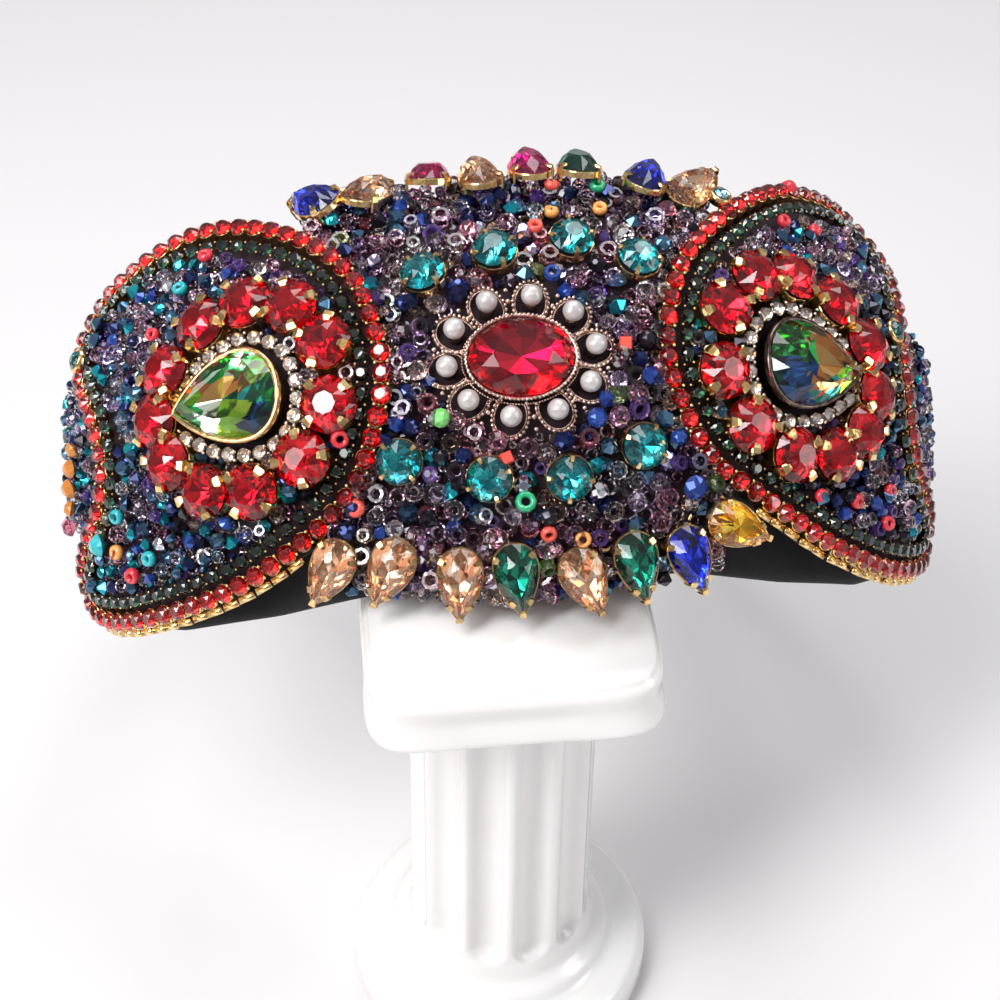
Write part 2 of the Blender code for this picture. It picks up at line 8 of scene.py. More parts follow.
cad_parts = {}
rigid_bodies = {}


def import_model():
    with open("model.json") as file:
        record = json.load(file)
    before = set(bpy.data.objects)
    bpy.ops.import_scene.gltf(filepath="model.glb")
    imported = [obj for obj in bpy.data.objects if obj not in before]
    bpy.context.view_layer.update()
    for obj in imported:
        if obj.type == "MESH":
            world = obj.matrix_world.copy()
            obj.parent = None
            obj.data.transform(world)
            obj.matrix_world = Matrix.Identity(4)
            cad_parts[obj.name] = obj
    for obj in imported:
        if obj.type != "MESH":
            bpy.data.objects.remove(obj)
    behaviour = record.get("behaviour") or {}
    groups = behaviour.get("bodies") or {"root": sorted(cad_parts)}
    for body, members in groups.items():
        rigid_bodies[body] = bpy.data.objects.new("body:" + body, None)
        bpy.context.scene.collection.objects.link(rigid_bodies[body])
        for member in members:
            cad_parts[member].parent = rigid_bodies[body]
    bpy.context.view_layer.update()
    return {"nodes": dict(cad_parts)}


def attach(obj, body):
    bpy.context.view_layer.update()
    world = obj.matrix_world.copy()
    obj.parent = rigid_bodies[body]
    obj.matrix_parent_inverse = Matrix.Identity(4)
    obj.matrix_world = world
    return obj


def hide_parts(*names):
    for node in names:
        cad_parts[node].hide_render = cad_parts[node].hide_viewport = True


for stray in list(bpy.data.objects):
    bpy.data.objects.remove(stray)
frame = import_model()
scene = bpy.context.scene
MM = 0.001
rng = np.random.default_rng(20)

# ---------------------------------------------------------------- sizes shared with the CAD, millimetres
ARCH_HALF_WIDTH, ARCH_DEPTH, LEG_RADIUS, BAND_LENGTH_V = 84.0, 60.0, 260.0, 158.0
TILT = math.radians(42.3)
BAND_X, BAND_Y, BAND_Z = 5.5, 15.2, 139.0
CROWN_LOW, CROWN_HIGH, CROWN_AT = 0.0035, 0.011, -5.0
CENTER_TOP, SIDE_TOP, PANEL_GAP, PANEL_FOOT = 0.1, 0.7, 0.35, -4.5
OVAL_S, OVAL_W = -1.4, 2.9
PEAR_S, PEAR_W, PEAR_TURN = {-1: 52.5, 1: 51.8}, -0.6, math.radians(-8.0)
PEAR_LENGTH, PEAR_WIDTH = 19.6, 14.0
RING_S, RING_W, RING_TURN = 50.5, -0.4, math.radians(-30.0)   # the ring sits a little further forward than the pear
RING_ALONG, RING_ACROSS = 17.6, 15.5
PEARL_ELLIPSE, PEARL_PHASE = (12.6, 9.8), math.radians(6.5)

#             name            s_left  w_left  s_right  w_right   middle line of each side panel's red chain
PANEL_EDGE = (("inner_mid",      24.9,   0.0,   24.0,    0.0),
              ("inner_high",     26.7,  11.4,   26.2,   11.6),
              ("inner_shoulder", 31.7,  19.9,   32.4,   20.3),
              ("top_front",      41.6,  26.4,   44.7,   27.8),
              ("top_mid",        54.9,  30.2,   60.3,   32.5),
              ("top_back",       69.6,  30.6,   76.0,   33.0),
              ("lobe_start",     83.7,  27.0,   88.5,   31.2),
              ("lobe_high",      96.0,  21.5,   95.5,   27.0),
              ("lobe_tip",      101.0,  14.6,   94.0,   20.5),
              ("lobe_under",     95.0,   7.4,   87.0,   13.5),
              ("waist_high",     87.5,   0.0,   81.0,    3.5),
              ("waist",          84.0,  -8.1,   80.4,   -6.5),
              ("waist_low",      87.0, -17.0,   83.0,  -17.0),
              ("flare",          96.5, -24.0,   91.5,  -24.5),
              ("heel_back",     103.5, -29.5,   99.0,  -30.5),
              ("heel_corner",   101.0, -35.0,   97.0,  -35.8),
              ("bottom_back",    88.5, -37.5,   88.6,  -37.5),
              ("bottom_mid",     72.5, -36.4,   73.4,  -36.7),
              ("bottom_front",   57.6, -33.2,   57.5,  -32.0),
              ("bottom_turn",    46.5, -28.5,   47.5,  -26.8),
              ("inner_low",      36.2, -21.9,   38.5,  -21.2),
              ("inner_turn",     29.5, -14.3,   30.0,  -14.6))
#                name           s      w      right half of the centre panel's outline
CENTER_EDGE = (("top",         0.0,  35.5), ("top_side",   16.0,  35.4), ("top_out",    31.0,  34.4),
               ("top_corner", 42.0,  33.0), ("shoulder",   42.0,  31.0), ("neck_high",  37.0,  27.4),
               ("neck",       29.5,  22.0), ("waist_high", 24.0,  14.0), ("waist",      21.4,   1.0),
               ("waist_low",  24.0, -11.0), ("hip_high",   30.0, -19.6), ("hip",        35.5, -25.6),
               ("low_corner", 36.5, -30.5), ("low_out",    29.0, -33.6), ("low_side",   14.0, -34.4),
               ("bottom",      0.0, -34.6))
#             name       s      w_low  w_high
END_PANEL = (("nose",    90.5, -13.0,  -4.0), ("front",   95.5, -18.0,   2.0), ("middle", 101.0, -22.0,   7.0),
             ("back",   109.0, -20.0,   9.0), ("rear",   116.0, -15.0,   7.0), ("end",    121.0,  -9.0,   1.0))
END_PANEL_RIGHT_SHIFT = -4.0
#             name         s      w_low  w_high  in_low  in_high
CORE_ROWS = (("front",      0.0, -35.0,   33.5,  12.0,   22.5), ("brow",      30.0, -35.5,   33.2,  12.0,   22.5),
             ("temple",    52.0, -38.6,   32.0,  12.0,   22.0), ("side",      78.0, -40.6,   30.5,  12.0,   20.5),
             ("behind",   104.0, -39.5,   25.5,  12.0,   18.0), ("leg_high", 130.0, -33.5,   19.5,  12.0,   15.0),
             ("leg",      158.0, -26.5,   14.5,  11.5,   13.0), ("leg_low",  186.0, -20.5,   10.5,  11.0,   12.0),
             ("tip",      214.0, -15.5,    7.5,  10.8,   11.4))
#            name              s      w
TEAL_ROWS = (("teal_stone_1", -17.6,  18.2), ("teal_stone_2",  -4.5,  21.4), ("teal_stone_3",  10.1,  22.9),
             ("teal_stone_4",  21.9,  19.0), ("teal_stone_5", -22.9, -13.0), ("teal_stone_6",  -8.2, -16.9),
             ("teal_stone_7",   5.3, -17.6), ("teal_stone_8",  18.4, -12.9))
#            name              s      w    turn   lean   colour
TOP_DROPS = (("top_drop_1",   -40.3,  33.0,  -64.0,  18.0, "sapphire"),
             ("top_drop_2",   -28.8,  33.6,   26.0,  26.0, "champagne"),
             ("top_drop_3",   -16.2,  35.6,    5.0,  34.0, "magenta"),
             ("top_drop_4",    -6.1,  35.7,  -10.0,  21.0, "champagne"),
             ("top_drop_5",     4.7,  37.1,   -3.0,  20.0, "magenta"),
             ("top_drop_6",    15.1,  36.5,    7.0,  25.0, "emerald"),
             ("top_drop_7",    29.3,  34.2,   32.0,  15.0, "sapphire"),
             ("top_drop_8",    40.2,  32.8,   60.0,  -8.0, "champagne"))
BOTTOM_DROPS = (("bottom_drop_1", -36.6, -30.6, -146.0,  0.0, "champagne"),
                ("bottom_drop_2", -26.2, -31.2, -150.0,  0.0, "champagne"),
                ("bottom_drop_3", -14.2, -33.9, -175.0,  0.0, "champagne"),
                ("bottom_drop_4",  -4.4, -33.7,  174.0,  0.0, "emerald"),
                ("bottom_drop_5",   7.4, -34.9,  155.0,  0.0, "champagne"),
                ("bottom_drop_6",  16.6, -33.0,  167.0,  0.0, "emerald"),
                ("bottom_drop_7",  26.4, -32.4,  158.0,  0.0, "sapphire"),
                ("bottom_drop_8",  35.5, -27.3,  112.0,  0.0, "amber"))
#              name            z     radius  flute  square
COLUMN_ROWS = (("foot",        0.0,   29.6,  0.0,   0.0),
               ("foot_edge",   1.2,   30.3,  0.0,   0.0),
               ("disc_edge",   6.6,   30.3,  0.0,   0.0),
               ("disc_round",  8.8,   28.6,  0.0,   0.0),
               ("disc_top",    9.4,   23.0,  0.0,   0.0),
               ("ring",       12.0,   21.6,  0.0,   0.0),
               ("ring_top",   13.4,   18.9,  0.0,   0.0),
               ("land_low",   18.0,   17.9,  0.0,   0.0),
               ("flute_low",  21.0,   17.9,  1.0,   0.0),
               ("flute_top",  82.6,   17.5,  1.0,   0.0),
               ("neck",       87.6,   17.7,  0.0,   0.0),
               ("cap_under",  89.8,   23.6,  0.0,   1.0),
               ("cap_roll",   92.2,   25.9,  0.0,   1.0),
               ("cap_side",   97.3,   25.3,  0.0,   1.0),
               ("cap_top",   101.4,   25.6,  0.0,   1.0),
               ("cap_edge",  102.8,   24.2,  0.0,   1.0))


# ---------------------------------------------------------------- the band's outside as a surface (all arrays)
def build_outer_line():
    theta = np.linspace(0.0, math.pi / 2, 3000)
    x = ARCH_HALF_WIDTH * np.sin(theta)
    v = ARCH_DEPTH * (1.0 - np.cos(theta))
    leg = np.linspace(ARCH_DEPTH, BAND_LENGTH_V + 40.0, 1500)[1:]
    x = np.concatenate([x, ARCH_HALF_WIDTH - (leg - ARCH_DEPTH) ** 2 / (2 * LEG_RADIUS)])
    v = np.concatenate([v, leg])
    s = np.concatenate([[0.0], np.cumsum(np.hypot(np.diff(x), np.diff(v)))])
    return s, x, v


LINE_S, LINE_X, LINE_V = build_outer_line()
HALF_LENGTH = float(np.interp(BAND_LENGTH_V, LINE_V, LINE_S))


def line_at(s):
    side = np.where(s < 0, -1.0, 1.0)
    q = np.abs(s)
    x, v = np.interp(q, LINE_S, LINE_X), np.interp(q, LINE_S, LINE_V)
    a, b = q + 0.05, np.maximum(q - 0.05, 0.0)
    dx = np.interp(a, LINE_S, LINE_X) - np.interp(b, LINE_S, LINE_X)
    dv = np.interp(a, LINE_S, LINE_V) - np.interp(b, LINE_S, LINE_V)
    size = np.hypot(dx, dv)
    return side * x, v, side * dv / size, -dx / size


def in_plane(s, w, depth):
    s, w, depth = np.broadcast_arrays(np.asarray(s, float), np.asarray(w, float), np.asarray(depth, float))
    x, v, nx, nv = line_at(s)
    x, v = x - nx * depth, v - nv * depth
    return np.stack([BAND_X + x, BAND_Y + v * math.cos(TILT) + w * math.sin(TILT),
                     BAND_Z - v * math.sin(TILT) + w * math.cos(TILT)], -1)


def crown(w):
    return -np.where(w > CROWN_AT, CROWN_HIGH, CROWN_LOW) * (w - CROWN_AT) ** 2


def on_skin(s, w):
    w = np.asarray(w, float)
    return in_plane(s, w, -crown(w))


def unit(a):
    return a / np.linalg.norm(a, axis=-1, keepdims=True)


def skin_frames(s, w):
    s, w = np.broadcast_arrays(np.asarray(s, float), np.asarray(w, float))
    along = unit(on_skin(s + 0.2, w) - on_skin(s - 0.2, w))
    across = unit(on_skin(s, w + 0.2) - on_skin(s, w - 0.2))
    out = unit(np.cross(along, across))
    flip = np.sum(out * (in_plane(s, w, -1.0) - in_plane(s, w, 0.0)), -1, keepdims=True) < 0
    out = np.where(flip, -out, out)
    across = unit(across - along * np.sum(across * along, -1, keepdims=True))
    return along, across, out


def lifted(s, w, lift):
    return on_skin(s, w) + skin_frames(s, w)[2] * np.asarray(lift, float)[..., None]


# ---------------------------------------------------------------- curves in (s, w)
def smooth_loop(points, count):
    n = len(points)
    dense = []
    for i in range(n):
        p0, p1, p2, p3 = (np.array(points[(i + k - 1) % n], float) for k in range(4))
        for t in np.linspace(0, 1, 24, endpoint=False):
            dense.append(0.5 * (2 * p1 + (p2 - p0) * t + (2 * p0 - 5 * p1 + 4 * p2 - p3) * t ** 2
                                + (3 * p1 - p0 - 3 * p2 + p3) * t ** 3))
    dense = np.array(dense + [dense[0]])
    run = np.concatenate([[0], np.cumsum(np.hypot(*np.diff(dense, axis=0).T))])
    at = np.linspace(0, run[-1], count, endpoint=False)
    return np.stack([np.interp(at, run, dense[:, 0]), np.interp(at, run, dense[:, 1])], 1)


def shifted_loop(loop, outwards):
    nxt, prv = np.roll(loop, -1, 0), np.roll(loop, 1, 0)
    tangent = nxt - prv
    tangent /= np.hypot(tangent[:, 0], tangent[:, 1])[:, None]
    normal = np.stack([tangent[:, 1], -tangent[:, 0]], 1)
    area = 0.5 * np.sum(loop[:, 0] * nxt[:, 1] - nxt[:, 0] * loop[:, 1])
    return loop + normal * outwards * (1.0 if area > 0 else -1.0)


def inside(points, loop):
    """which points lie inside a closed outline"""
    x, y = points[:, 0], points[:, 1]
    hit = np.zeros(len(points), bool)
    x0, y0 = loop[:, 0], loop[:, 1]
    x1, y1 = np.roll(x0, -1), np.roll(y0, -1)
    for a, b, c, d in zip(x0, y0, x1, y1):
        cross = ((b > y) != (d > y)) & (x < (c - a) * (y - b) / (d - b + 1e-12) + a)
        hit ^= cross
    return hit


def edge_distance(points, loop):
    best = np.full(len(points), 1e9)
    for p, q in zip(loop, np.roll(loop, -1, 0)):
        d = q - p
        t = np.clip(((points - p) @ d) / (d @ d), 0, 1)
        best = np.minimum(best, np.hypot(*(points - (p + t[:, None] * d)).T))
    return best


def panel_edge(side):
    column = 1 if side < 0 else 3
    return [(side * row[column], row[column + 1]) for row in PANEL_EDGE]


def pear_outline(length, width, count, point=0.9):
    t = np.linspace(0, 2 * math.pi, count, endpoint=False)
    half = np.abs(np.sin(t / 2)) ** point
    u = np.linspace(0, math.pi, 200)
    reach = np.max(np.sin(u) * np.sin(u / 2) ** point)
    return np.stack([length / 2 * np.cos(t), width / 2 * np.sin(t) * half / reach], 1)


def ellipse_outline(length, width, count):
    t = np.linspace(0, 2 * math.pi, count, endpoint=False)
    return np.stack([length / 2 * np.cos(t), width / 2 * np.sin(t)], 1)


# ---------------------------------------------------------------- joined meshes
class Batch:
    """collects placed copies of small templates into one mesh"""

    def __init__(self):
        self.verts, self.faces, self.mats, self.count = [], [], [], 0

    def add(self, template, places, basis, scale=1.0):
        """places (n,3) millimetres; basis (n,3,3) with columns as local axes; scale number, (n,) or (n,3)"""
        verts, faces = template[:2]
        mats = template[2] if len(template) > 2 else [0] * len(faces)
        places, basis = np.atleast_2d(places), np.asarray(basis).reshape(-1, 3, 3)
        scale = np.asarray(scale, float)
        if scale.ndim == 0:
            scale = np.full((len(places), 3), float(scale))
        elif scale.ndim == 1:
            scale = np.repeat(scale[:, None], 3, 1)
        local = verts[None] * scale[:, None, :]
        world = np.einsum("nij,nkj->nki", basis, local) + places[:, None, :]
        for k in range(len(places)):
            self.faces += [tuple(i + self.count for i in f) for f in faces]
            self.mats += mats
            self.count += len(verts)
        self.verts.append(world.reshape(-1, 3))
        return self

    def add_raw(self, verts, faces, mats=None):
        verts = np.asarray(verts, float).reshape(-1, 3)
        self.faces += [tuple(i + self.count for i in f) for f in faces]
        self.mats += mats or [0] * len(faces)
        self.count += len(verts)
        self.verts.append(verts)
        return self

    def build(self, name, mat, slot, smooth=False, replaces=(), fix=True):
        mesh = bpy.data.meshes.new(name)
        mesh.from_pydata((np.concatenate(self.verts) * MM).tolist(), [], self.faces)
        if fix:
            bm = bmesh.new()
            bm.from_mesh(mesh)
            bmesh.ops.recalc_face_normals(bm, faces=bm.faces)
            bm.to_mesh(mesh)
            bm.free()
        mesh.polygons.foreach_set("use_smooth", [smooth] * len(mesh.polygons))
        mesh.update()
        obj = bpy.data.objects.new(name, mesh)
        scene.collection.objects.link(obj)
        for m in mat if isinstance(mat, tuple) else (mat,):
            mesh.materials.append(m)
        if isinstance(mat, tuple):
            mesh.polygons.foreach_set("material_index", self.mats)
        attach(obj, "root")
        if replaces:
            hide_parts(*replaces)
        return obj


def basis_at(s, w, turn=0.0, lean=0.0):
    """columns: tip (turned from +w towards +s), side, out"""
    along, across, out = skin_frames(s, w)
    turn = np.asarray(turn, float)[..., None]
    tip = across * np.cos(turn) + along * np.sin(turn)
    if lean:
        tip, out = tip * math.cos(lean) - out * math.sin(lean), out * math.cos(lean) + tip * math.sin(lean)
    side = np.cross(out, tip)
    return np.stack([tip, side, out], -1)


def random_basis(out, tilt):
    """one local frame per normal, spun at random and leaning up to tilt radians"""
    n = len(out)
    noise = rng.normal(size=(n, 3))
    axis = unit(out + unit(noise) * np.tan(rng.uniform(0, tilt, n))[:, None])
    ref = unit(np.cross(axis, rng.normal(size=(n, 3))))
    return np.stack([ref, np.cross(axis, ref), axis], -1)


def rings_template(rows, count, twist=True, cap=True):
    """lathe-like template: rows of (radius, height), each row turned half a step for facets"""
    verts, faces = [], []
    for k, (r, h) in enumerate(rows):
        shift = 0.5 * (k % 2) if twist else 0.0
        a = 2 * math.pi * (np.arange(count) + shift) / count
        verts.append(np.stack([r * np.cos(a), r * np.sin(a), np.full(count, h)], 1))
    for k in range(len(rows) - 1):
        a, b = k * count, (k + 1) * count
        odd = k % 2
        for i in range(count):
            j = (i + 1) % count
            if not twist:
                faces.append((a + i, a + j, b + j, b + i))
            elif odd == 0:
                faces += [(a + i, a + j, b + i), (a + j, b + j, b + i)]
            else:
                faces += [(a + i, b + j, b + i), (a + i, a + j, b + j)]
    if cap:
        faces.append(tuple(range(count)))
        faces.append(tuple(range((len(rows) - 1) * count, len(rows) * count)))
    return np.concatenate(verts), faces


def ring_bead(n=12, m=6, hole=0.42, height=0.62):
    """rounded seed bead, hole along Z, outer radius 1"""
    verts, faces = [], []
    mid, half = (1 + hole) / 2, (1 - hole) / 2
    for i in range(n):
        a = 2 * math.pi * i / n
        for k in range(m):
            b = 2 * math.pi * k / m
            r = mid + half * math.cos(b)
            verts.append((r * math.cos(a), r * math.sin(a), height * math.sin(b)))
    for i in range(n):
        for k in range(m):
            a, b = i * m, ((i + 1) % n) * m
            faces.append((a + k, b + k, b + (k + 1) % m, a + (k + 1) % m))
    return np.array(verts), faces


def cut_gem(outline, crown_h, pavilion, table=0.56, mid=0.80):
    """closed cut stone, girdle at z=0: table, stars, kites and girdle facets above, long facets below"""
    n = len(outline)
    h = n // 2
    verts = [(x, y, 0.0) for x, y in outline]
    verts += [(x, y, -0.06 * pavilion) for x, y in outline]
    for i in range(h):
        x, y = outline[2 * i]
        verts.append((x * table, y * table, crown_h))
    for i in range(h):
        x, y = outline[2 * i + 1]
        verts.append((x * mid, y * mid, crown_h * 0.60))
    for i in range(h):
        x, y = outline[2 * i + 1]
        verts.append((x * 0.50, y * 0.50, -0.60 * pavilion))
    verts.append((0.0, 0.0, -pavilion))
    G, L, T, M, P, C = 0, n, 2 * n, 2 * n + h, 2 * n + 2 * h, 2 * n + 3 * h
    faces = [tuple(T + i for i in range(h))]
    for i in range(h):
        j, k = (i + 1) % h, (i - 1) % h
        faces.append((T + i, M + i, T + j))
        faces.append((T + i, M + k, G + 2 * i, M + i))
        faces.append((M + i, G + 2 * i, G + 2 * i + 1))
        faces.append((M + i, G + 2 * i + 1, G + (2 * i + 2) % n))
        faces.append((L + 2 * i, L + 2 * i + 1, P + i))
        faces.append((L + 2 * i + 1, L + (2 * i + 2) % n, P + i))
        faces.append((P + k, L + 2 * i, P + i))
        faces.append((P + k, P + i, C))
    for i in range(n):
        j = (i + 1) % n
        faces.append((G + i, G + j, L + j, L + i))
    return np.array(verts), faces


def backed_gem(outline, crown_h, pavilion, table=0.56, mid=0.80, flip=False):
    """a foil backed stone: clear crown, and every facet of the pavilion loose so that its foil takes its own shade of
    painted light and dark
    """
    verts, faces = cut_gem(outline, crown_h, pavilion, table, mid)
    middle = np.array([verts[:, 0].mean(), verts[:, 1].mean(), 0.1 * crown_h])
    crown, backs = [], []
    for f in faces:
        p = verts[list(f)]
        normal = np.cross(p[1] - p[0], p[2] - p[0])
        if (np.dot(normal, p.mean(0) - middle) < 0) != flip:
            f = tuple(reversed(f))
        (backs if p[:, 2].min() < -0.08 * pavilion - 1e-6 and p[:, 2].max() < 1e-6 and p[:, 2].mean() < -0.1 * pavilion
         else crown).append(f)
    verts = list(verts)
    loose = []
    for f in backs:
        loose.append(tuple(range(len(verts), len(verts) + len(f))))
        verts += [verts[i] for i in f]
    return np.array(verts), crown + loose, [0] * len(crown) + [1] * len(loose)


def wall(outline, low, high, thick, lip=0.0):
    """closed rim round an outline"""
    n = len(outline)
    outer = shifted_loop(outline, thick)
    inner = outline
    top_in = shifted_loop(outline, -lip) if lip else outline
    rows = [[(x, y, low) for x, y in inner], [(x, y, low) for x, y in outer], [(x, y, high - 0.15) for x, y in outer],
            [(x, y, high) for x, y in shifted_loop(outline, thick * 0.6)], [(x, y, high) for x, y in top_in]]
    verts = [p for r in rows for p in r]
    faces = []
    for k in range(5):
        a, b = k * n, ((k + 1) % 5) * n
        for i in range(n):
            j = (i + 1) % n
            faces.append((a + i, a + j, b + j, b + i))
    return np.array(verts), faces


def claw(width, rise, reach, thick=0.32):
    """bent metal tab: foot at the origin, up along Z, then over the stone along -X"""
    path = [(0.0, 0.0), (0.12, rise * 0.7), (-0.10, rise), (-reach * 0.55, rise + 0.22), (-reach, rise + 0.05)]
    widths = [1.0, 1.0, 1.0, 0.85, 0.55]
    verts, faces = [], []
    for k, ((x, z), wd) in enumerate(zip(path, widths)):
        a, b = path[max(k - 1, 0)], path[min(k + 1, len(path) - 1)]
        tx, tz = b[0] - a[0], b[1] - a[1]
        size = math.hypot(tx, tz)
        nx, nz = tz / size * thick, -tx / size * thick
        half = width / 2 * wd
        verts += [(x, -half, z), (x, half, z), (x + nx, half * 0.8, z + nz), (x + nx, -half * 0.8, z + nz)]
    for k in range(len(path) - 1):
        a, b = 4 * k, 4 * k + 4
        for i in range(4):
            j = (i + 1) % 4
            faces.append((a + i, a + j, b + j, b + i))
    faces += [(0, 1, 2, 3), (16, 17, 18, 19)]
    return np.array(verts), faces


def sphere(n=16, m=10):
    rows = [(math.sin(math.pi * k / m), -math.cos(math.pi * k / m)) for k in range(1, m)]
    verts, faces = rings_template(rows, n, twist=False, cap=False)
    verts = np.concatenate([verts, [(0, 0, -1), (0, 0, 1)]])
    low, high = len(verts) - 2, len(verts) - 1
    last = (m - 2) * n
    for i in range(n):
        j = (i + 1) % n
        faces += [(i, j, low), (last + i, last + j, high)]
    return verts, faces


def grain():
    """small faceted ball for beaded wire"""
    return sphere(6, 4)


# ---------------------------------------------------------------- materials
def new_material(name):
    mat = bpy.data.materials.new(name)
    mat.use_nodes = True
    nodes = mat.node_tree.nodes
    return mat, nodes, mat.node_tree.links, nodes["Principled BSDF"]


def put(bsdf, **values):
    for key, value in values.items():
        bsdf.inputs[key.replace("_", " ")].default_value = value


def bump(nodes, links, bsdf, scale, strength, distance, detail=2.0, kind="noise"):
    coord = nodes.new("ShaderNodeTexCoord")
    tex = nodes.new("ShaderNodeTexNoise" if kind == "noise" else "ShaderNodeTexVoronoi")
    tex.inputs["Scale"].default_value = scale
    if kind == "noise":
        tex.inputs["Detail"].default_value = detail
    links.new(coord.outputs["Object"], tex.inputs["Vector"])
    node = nodes.new("ShaderNodeBump")
    node.inputs["Strength"].default_value = strength
    node.inputs["Distance"].default_value = distance
    links.new(tex.outputs[0], node.inputs["Height"])
    links.new(node.outputs["Normal"], bsdf.inputs["Normal"])
    return tex, coord


def island_colours(nodes, links, bsdf, colours):
    """each bead of a joined mesh takes its own shade"""
    geo = nodes.new("ShaderNodeNewGeometry")
    ramp = nodes.new("ShaderNodeValToRGB")
    ramp.color_ramp.interpolation = "LINEAR"
    while len(ramp.color_ramp.elements) < len(colours):
        ramp.color_ramp.elements.new(0.5)
    for k, (el, c) in enumerate(zip(ramp.color_ramp.elements, colours)):
        el.position = k / (len(colours) - 1)
        el.color = (*c, 1)
    links.new(geo.outputs["Random Per Island"], ramp.inputs["Fac"])
    links.new(ramp.outputs["Color"], bsdf.inputs["Base Color"])


def glass(name, colours, transmission=1.0, roughness=0.02, ior=1.56, coat=0.0, island=True, metal=0.0):
    mat, nodes, links, bsdf = new_material(name)
    put(bsdf, Roughness=roughness, IOR=ior, Transmission_Weight=transmission, Metallic=metal, Coat_Weight=coat,
        Coat_Roughness=0.02)
    if len(colours) > 1 and island:
        island_colours(nodes, links, bsdf, colours)
    else:
        # faint striae in the glass
        c = np.array(colours[0])
        coord, tex, ramp = (nodes.new("ShaderNodeTexCoord"), nodes.new("ShaderNodeTexNoise"), nodes.new("ShaderNodeValToRGB"))
        tex.inputs["Scale"].default_value = 160.0
        tex.inputs["Detail"].default_value = 3.0
        links.new(coord.outputs["Object"], tex.inputs["Vector"])
        links.new(tex.outputs[0], ramp.inputs["Fac"])
        ramp.color_ramp.elements[0].position, ramp.color_ramp.elements[1].position = 0.35, 0.65
        ramp.color_ramp.elements[0].color, ramp.color_ramp.elements[1].color = (*(c * 0.88), 1), (*np.minimum(c * 1.03, 1), 1)
        links.new(ramp.outputs["Color"], bsdf.inputs["Base Color"])
    return mat


def metal(name, bright, dark, roughness, scale=900.0):
    mat, nodes, links, bsdf = new_material(name)
    put(bsdf, Metallic=1.0, Roughness=roughness)
    tex, coord = bump(nodes, links, bsdf, scale, 0.25, 0.0002)
    ramp = nodes.new("ShaderNodeValToRGB")
    ramp.color_ramp.elements[0].position, ramp.color_ramp.elements[1].position = 0.35, 0.62
    ramp.color_ramp.elements[0].color, ramp.color_ramp.elements[1].color = (*dark, 1), (*bright, 1)
    links.new(tex.outputs[0], ramp.inputs["Fac"])
    links.new(ramp.outputs["Color"], bsdf.inputs["Base Color"])
    return mat


# the foil shades run from dark to bright and fall at random on each facet: painted light and shade between facets
GEM_COLOURS = {  # crown glass, shades of the foil behind it
    "ruby": ((0.93, 0.18, 0.27), ((0.34, 0.002, 0.018), (0.72, 0.007, 0.036), (0.90, 0.022, 0.055), (0.52, 0.003, 0.026), (0.98, 0.10, 0.10))),
    "oval": ((0.94, 0.18, 0.38), ((0.34, 0.001, 0.035), (0.58, 0.004, 0.065), (0.82, 0.010, 0.105), (0.95, 0.035, 0.11))),
    "siam": ((0.92, 0.26, 0.26), ((0.44, 0.006, 0.014), (0.70, 0.015, 0.022), (0.88, 0.06, 0.045))),
    "teal": ((0.56, 0.88, 0.88), ((0.00, 0.14, 0.17), (0.01, 0.36, 0.40), (0.02, 0.54, 0.57), (0.16, 0.76, 0.76), (0.01, 0.26, 0.29))),
    "champagne": ((1.0, 0.90, 0.80), ((0.80, 0.34, 0.17), (0.97, 0.56, 0.33), (1.0, 0.76, 0.55), (0.90, 0.44, 0.25), (1.0, 0.94, 0.86))),
    "magenta": ((0.98, 0.40, 0.70), ((0.45, 0.00, 0.16), (0.85, 0.01, 0.34), (0.98, 0.05, 0.48), (0.98, 0.25, 0.58))),
    "emerald": ((0.55, 0.90, 0.76), ((0.00, 0.06, 0.045), (0.00, 0.14, 0.10), (0.01, 0.26, 0.19), (0.03, 0.48, 0.36))),
    "sapphire": ((0.50, 0.55, 0.98), ((0.00, 0.005, 0.16), (0.01, 0.03, 0.50), (0.02, 0.06, 0.80), (0.08, 0.16, 0.95))),
    "amber": ((1.0, 0.84, 0.40), ((0.66, 0.26, 0.01), (0.95, 0.50, 0.02), (0.98, 0.68, 0.05), (1.0, 0.88, 0.20))),
    "clear": ((0.99, 0.96, 0.93), ((0.66, 0.54, 0.48), (0.94, 0.86, 0.80), (1.0, 0.96, 0.92), (0.84, 0.74, 0.68))),
    "jet": ((0.40, 0.55, 0.45), ((0.004, 0.010, 0.008), (0.01, 0.03, 0.02), (0.02, 0.09, 0.05))),
    "aqua": ((0.70, 0.90, 0.95), ((0.10, 0.30, 0.40), (0.25, 0.55, 0.65), (0.50, 0.80, 0.88))),
}


def facet_foil(name, colours, roughness=0.10):
    """mirror foil whose shade changes from facet to facet"""
    mat, nodes, links, bsdf = new_material(name)
    put(bsdf, Metallic=0.92, Roughness=roughness)
    # each facet's foil takes a random shade from dark to bright: painted facet light and shade
    island_colours(nodes, links, bsdf, colours)
    return mat


